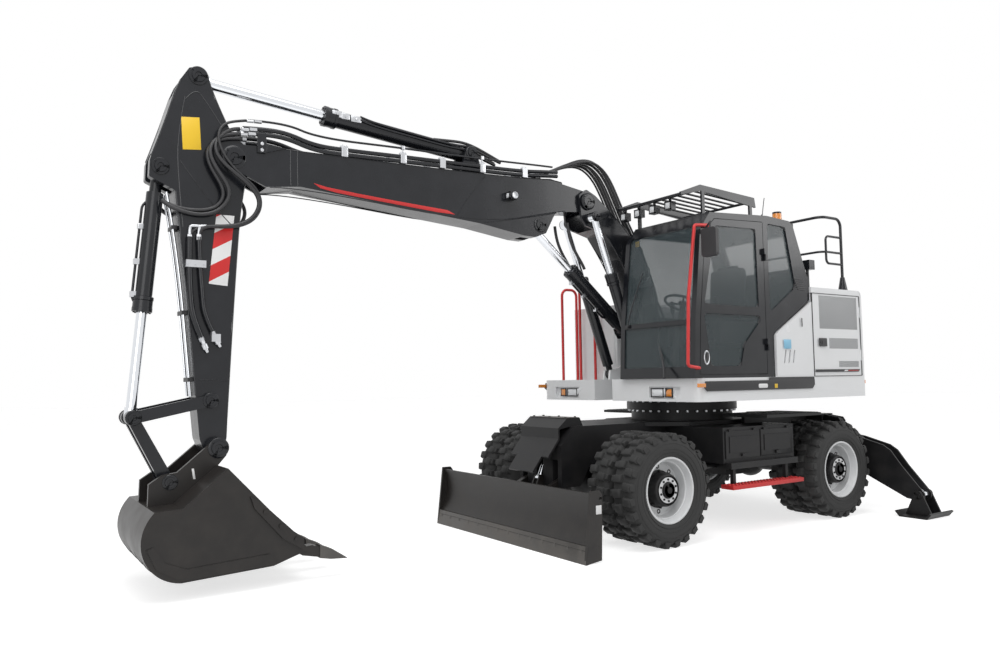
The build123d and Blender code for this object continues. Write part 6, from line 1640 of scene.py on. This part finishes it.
class EXCAVATOR_OT_steps(bpy.types.Operator):
    """Red steps between the wheels, tool box lids and the frame's bolts and hoses"""
    bl_idname = "excavator.steps"
    bl_label = "Steps and frame trim"

    def execute(self, context):
        for name, side in SIDES:
            self.step(name, side)
            self.box_trim(name, side)
        self.ring_bolts()
        self.front_cover()
        return {"FINISHED"}

    def step(self, name, side):
        x = (FRONT_AXLE_X - 1.932, FRONT_AXLE_X - 0.838)
        bm = bmesh.new()
        block(bm, (x[0], side * 1.078, 0.447), (x[1], side * 1.232, 0.4885), 0.006)
        for number in range(22):
            at = x[0] + 0.04 + number * (x[1] - x[0] - 0.08) / 21
            for y in (1.105, 1.155, 1.205):
                lathe(bm, ((0.0, 0.012), (0.006, 0.009), (0.006, 0.005), (0.002, 0.004)),
                      (at, side * y, 0.488), (0, 0, 1), 10)
        settle(bm, "red_step_" + name, "chassis", "red_paint")

    def box_trim(self, name, side):
        x = (FRONT_AXLE_X - 1.930, FRONT_AXLE_X - 0.840)
        face = side * 1.120
        bm = bmesh.new()
        for start, end in ((x[0] + 0.03, (x[0] + x[1]) / 2 - 0.01), ((x[0] + x[1]) / 2 + 0.01, x[1] - 0.03)):
            block(bm, (start, face, 0.735), (end, face + side * 0.010, 1.005), 0.006)
            block(bm, (start + 0.05, face + side * 0.008, 0.79), (end - 0.05, face + side * 0.016, 0.95),
                  0.012)
            for at in (start + 0.07, end - 0.07):
                block(bm, (at - 0.03, face, 1.000), (at + 0.03, face + side * 0.018, 1.022), 0.004)
            block(bm, ((start + end) / 2 - 0.03, face + side * 0.012, 0.752),
                  ((start + end) / 2 + 0.03, face + side * 0.026, 0.778), 0.004)
        tread = (x[0] - 0.32, x[0] + 0.55)
        for number in range(20):
            at = tread[0] + (tread[1] - tread[0]) * number / 20
            block(bm, (at, side * 0.68, 1.1485), (at + 0.02, side * 1.21, 1.1545), 0.002)
        settle(bm, "box_lids_" + name, "chassis", "frame_black_paint")

    def ring_bolts(self):
        centre = Vector((PIVOT["slew"].x, 0, 1.190))
        bm = bmesh.new()
        start = len(bm.verts)
        bar(bm, centre + Vector((0.585, 0, -0.022)), centre + Vector((0.585, 0, 0.0)), 0.014, segments=6,
            edge=0.002)
        bar(bm, centre + Vector((0.585, 0, 0.084)), centre + Vector((0.585, 0, 0.102)), 0.014, segments=6,
            edge=0.002)
        repeat_round(bm, start, centre, (0, 0, 1), 36)
        settle(bm, "slew_bolts", "chassis", "fitting_steel")

    def front_cover(self):
        """Bolted plate on the frame's nose, and the brake and steering lines of the front axle."""
        bm = bmesh.new()
        top = 1.158
        block(bm, (FRONT_AXLE_X + 0.285, -0.300, top), (FRONT_AXLE_X + 0.455, 0.300, top + 0.006), 0.003)
        for y in (-0.26, 0.0, 0.26):
            for x in (0.31, 0.43):
                bar(bm, (FRONT_AXLE_X + x, y, top), (FRONT_AXLE_X + x, y, top + 0.016), 0.012, segments=6)
        settle(bm, "cover_plate", "chassis", "edge_steel")
        bm = bmesh.new()
        for side in (-1, 1):
            hose(bm, ((FRONT_AXLE_X + 0.05, side * 0.10, 0.72), (FRONT_AXLE_X + 0.14, side * 0.20, 0.70),
                      (FRONT_AXLE_X + 0.13, side * 0.34, 0.62), (FRONT_AXLE_X + 0.06, side * 0.45, 0.58)),
                 0.010)
            hose(bm, ((FRONT_AXLE_X - 2.54, side * 0.12, 0.70), (FRONT_AXLE_X - 2.46, side * 0.24, 0.68),
                      (FRONT_AXLE_X - 2.48, side * 0.38, 0.62), (FRONT_AXLE_X - 2.56, side * 0.50, 0.59)),
                 0.010)
        settle(bm, "axle_lines", "chassis", "hose_rubber")


class EXCAVATOR_OT_tools(bpy.types.Operator):
    """Wear edges, bolts and teeth tips of the blade and the bucket"""
    bl_idname = "excavator.tools"
    bl_label = "Blade and bucket trim"

    def execute(self, context):
        self.blade()
        self.bucket()
        return {"FINISHED"}

    def blade(self):
        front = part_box("blade")[1].x
        bm = bmesh.new()
        edge = ((0.001, 0.001), (-0.004, 0.001), (-0.026, 0.150), (-0.0205, 0.150))
        plate(bm, outline_at(edge, front), -1.256, 2.512, 0.001)
        settle(bm, "blade_edge", "blade", "edge_steel")
        bm = bmesh.new()
        for number in range(14):
            y = -1.18 + 2.36 * number / 13
            at = Vector((front - 0.014, y, 0.098))
            lathe(bm, ((-0.004, 0.019), (0.003, 0.017), (0.004, 0.0)), at, (1, 0, 0.14), 20)
        settle(bm, "blade_bolts", "blade", "edge_steel")
        bm = bmesh.new()
        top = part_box("blade")[1].z
        straight(bm, (front - 0.092, -1.235, top - 0.020), (front - 0.092, 1.235, top - 0.020), 0.013)
        for y in (-1.259, 1.2575):
            cheek = ((-0.004, 0.012), (-0.168, 0.030), (-0.176, 0.140), (-0.030, 0.140))
            plate(bm, outline_at(cheek, front), y, 0.0015)
        settle(bm, "blade_rolls", "blade", "tool_black_paint")

    def bucket(self):
        pin = BUCKET_PIN
        bm = bmesh.new()
        for tooth in range(4):
            y = BOOM_Y + (tooth - 1.5) * (BUCKET_WIDTH - 0.110) / 3
            tip = ((-0.700, -0.775), (-0.800, -0.818), (-0.925, -0.901), (-0.925, -0.906), (-0.790, -0.896),
                   (-0.700, -0.878))
            plate(bm, outline_at(tip, pin.x, pin.z), y - 0.047, 0.094, 0.008)
        settle(bm, "bucket_teeth", "bucket", "edge_steel")
        bm = bmesh.new()
        for side in (-1, 1):
            face = BOOM_Y + side * BUCKET_WIDTH / 2
            cutter = ((-0.560, -0.700), (-0.480, -0.640), (-0.210, -0.380), (-0.150, -0.350),
                      (-0.180, -0.440), (-0.400, -0.690), (-0.560, -0.790))
            plate(bm, outline_at(cutter, pin.x, pin.z), face, side * 0.018, 0.004)
            wear = ((-0.360, -0.872), (-0.300, -0.790), (0.300, -0.820), (0.440, -0.760), (0.520, -0.640),
                    (0.566, -0.655), (0.500, -0.800), (0.330, -0.900))
            plate(bm, outline_at(wear, pin.x, pin.z), face, side * 0.008, 0.003)
            for x, z in ((-0.50, -0.70), (-0.38, -0.59), (-0.26, -0.47)):
                at = Vector((pin.x + x, face + side * 0.016, pin.z + z))
                bar(bm, at, at + Vector((0, side * 0.012, 0)), 0.017, segments=6, edge=0.002)
        for offset in (-0.36, -0.12, 0.12, 0.36):
            run = ((0.520, -0.450), (0.580, -0.560), (0.590, -0.690), (0.530, -0.820), (0.400, -0.900),
                   (0.25, -0.915))
            hose(bm, [(pin.x + x, BOOM_Y + offset, pin.z + z) for x, z in run], 0.010, order=3)
        settle(bm, "bucket_wear", "bucket", "tool_black_paint")


OPERATORS = (
    EXCAVATOR_OT_finishes,
    EXCAVATOR_OT_tyres,
    EXCAVATOR_OT_hubs,
    EXCAVATOR_OT_pin_caps,
    EXCAVATOR_OT_welds,
    EXCAVATOR_OT_boom_pipes,
    EXCAVATOR_OT_knuckle_hoses,
    EXCAVATOR_OT_nose_hoses,
    EXCAVATOR_OT_arm_pipes,
    EXCAVATOR_OT_cylinder_trim,
    EXCAVATOR_OT_signs,
    EXCAVATOR_OT_lamps,
    EXCAVATOR_OT_body_trim,
    EXCAVATOR_OT_cab_trim,
    EXCAVATOR_OT_cab_inside,
    EXCAVATOR_OT_steps,
    EXCAVATOR_OT_tools,
    EXCAVATOR_OT_stage,
)


class EXCAVATOR_PT_panel(bpy.types.Panel):
    """The machine's pieces and settings"""
    bl_idname = "EXCAVATOR_PT_panel"
    bl_label = "Excavator"
    bl_space_type = "VIEW_3D"
    bl_region_type = "UI"
    bl_category = "Excavator"

    def draw(self, context):
        for operator in OPERATORS:
            self.layout.operator(operator.bl_idname)
        scene = context.scene
        for settings in (scene.excavator_stage, scene.excavator_colours, scene.excavator_sizes):
            for key in settings.__annotations__:
                self.layout.prop(settings, key)


CLASSES = (ExcavatorStageSettings, ExcavatorColours, ExcavatorSizes, *OPERATORS, EXCAVATOR_PT_panel)


def register():
    for item in CLASSES:
        bpy.utils.register_class(item)
    bpy.types.Scene.excavator_stage = PointerProperty(type=ExcavatorStageSettings)
    bpy.types.Scene.excavator_colours = PointerProperty(type=ExcavatorColours)
    bpy.types.Scene.excavator_sizes = PointerProperty(type=ExcavatorSizes)


def unregister():
    del bpy.types.Scene.excavator_sizes
    del bpy.types.Scene.excavator_colours
    del bpy.types.Scene.excavator_stage
    for item in reversed(CLASSES):
        bpy.utils.unregister_class(item)


def main():
    register()
    for operator in OPERATORS:
        group, name = operator.bl_idname.split(".")
        getattr(getattr(bpy.ops, group), name)()


if __name__ == "__main__":
    main()
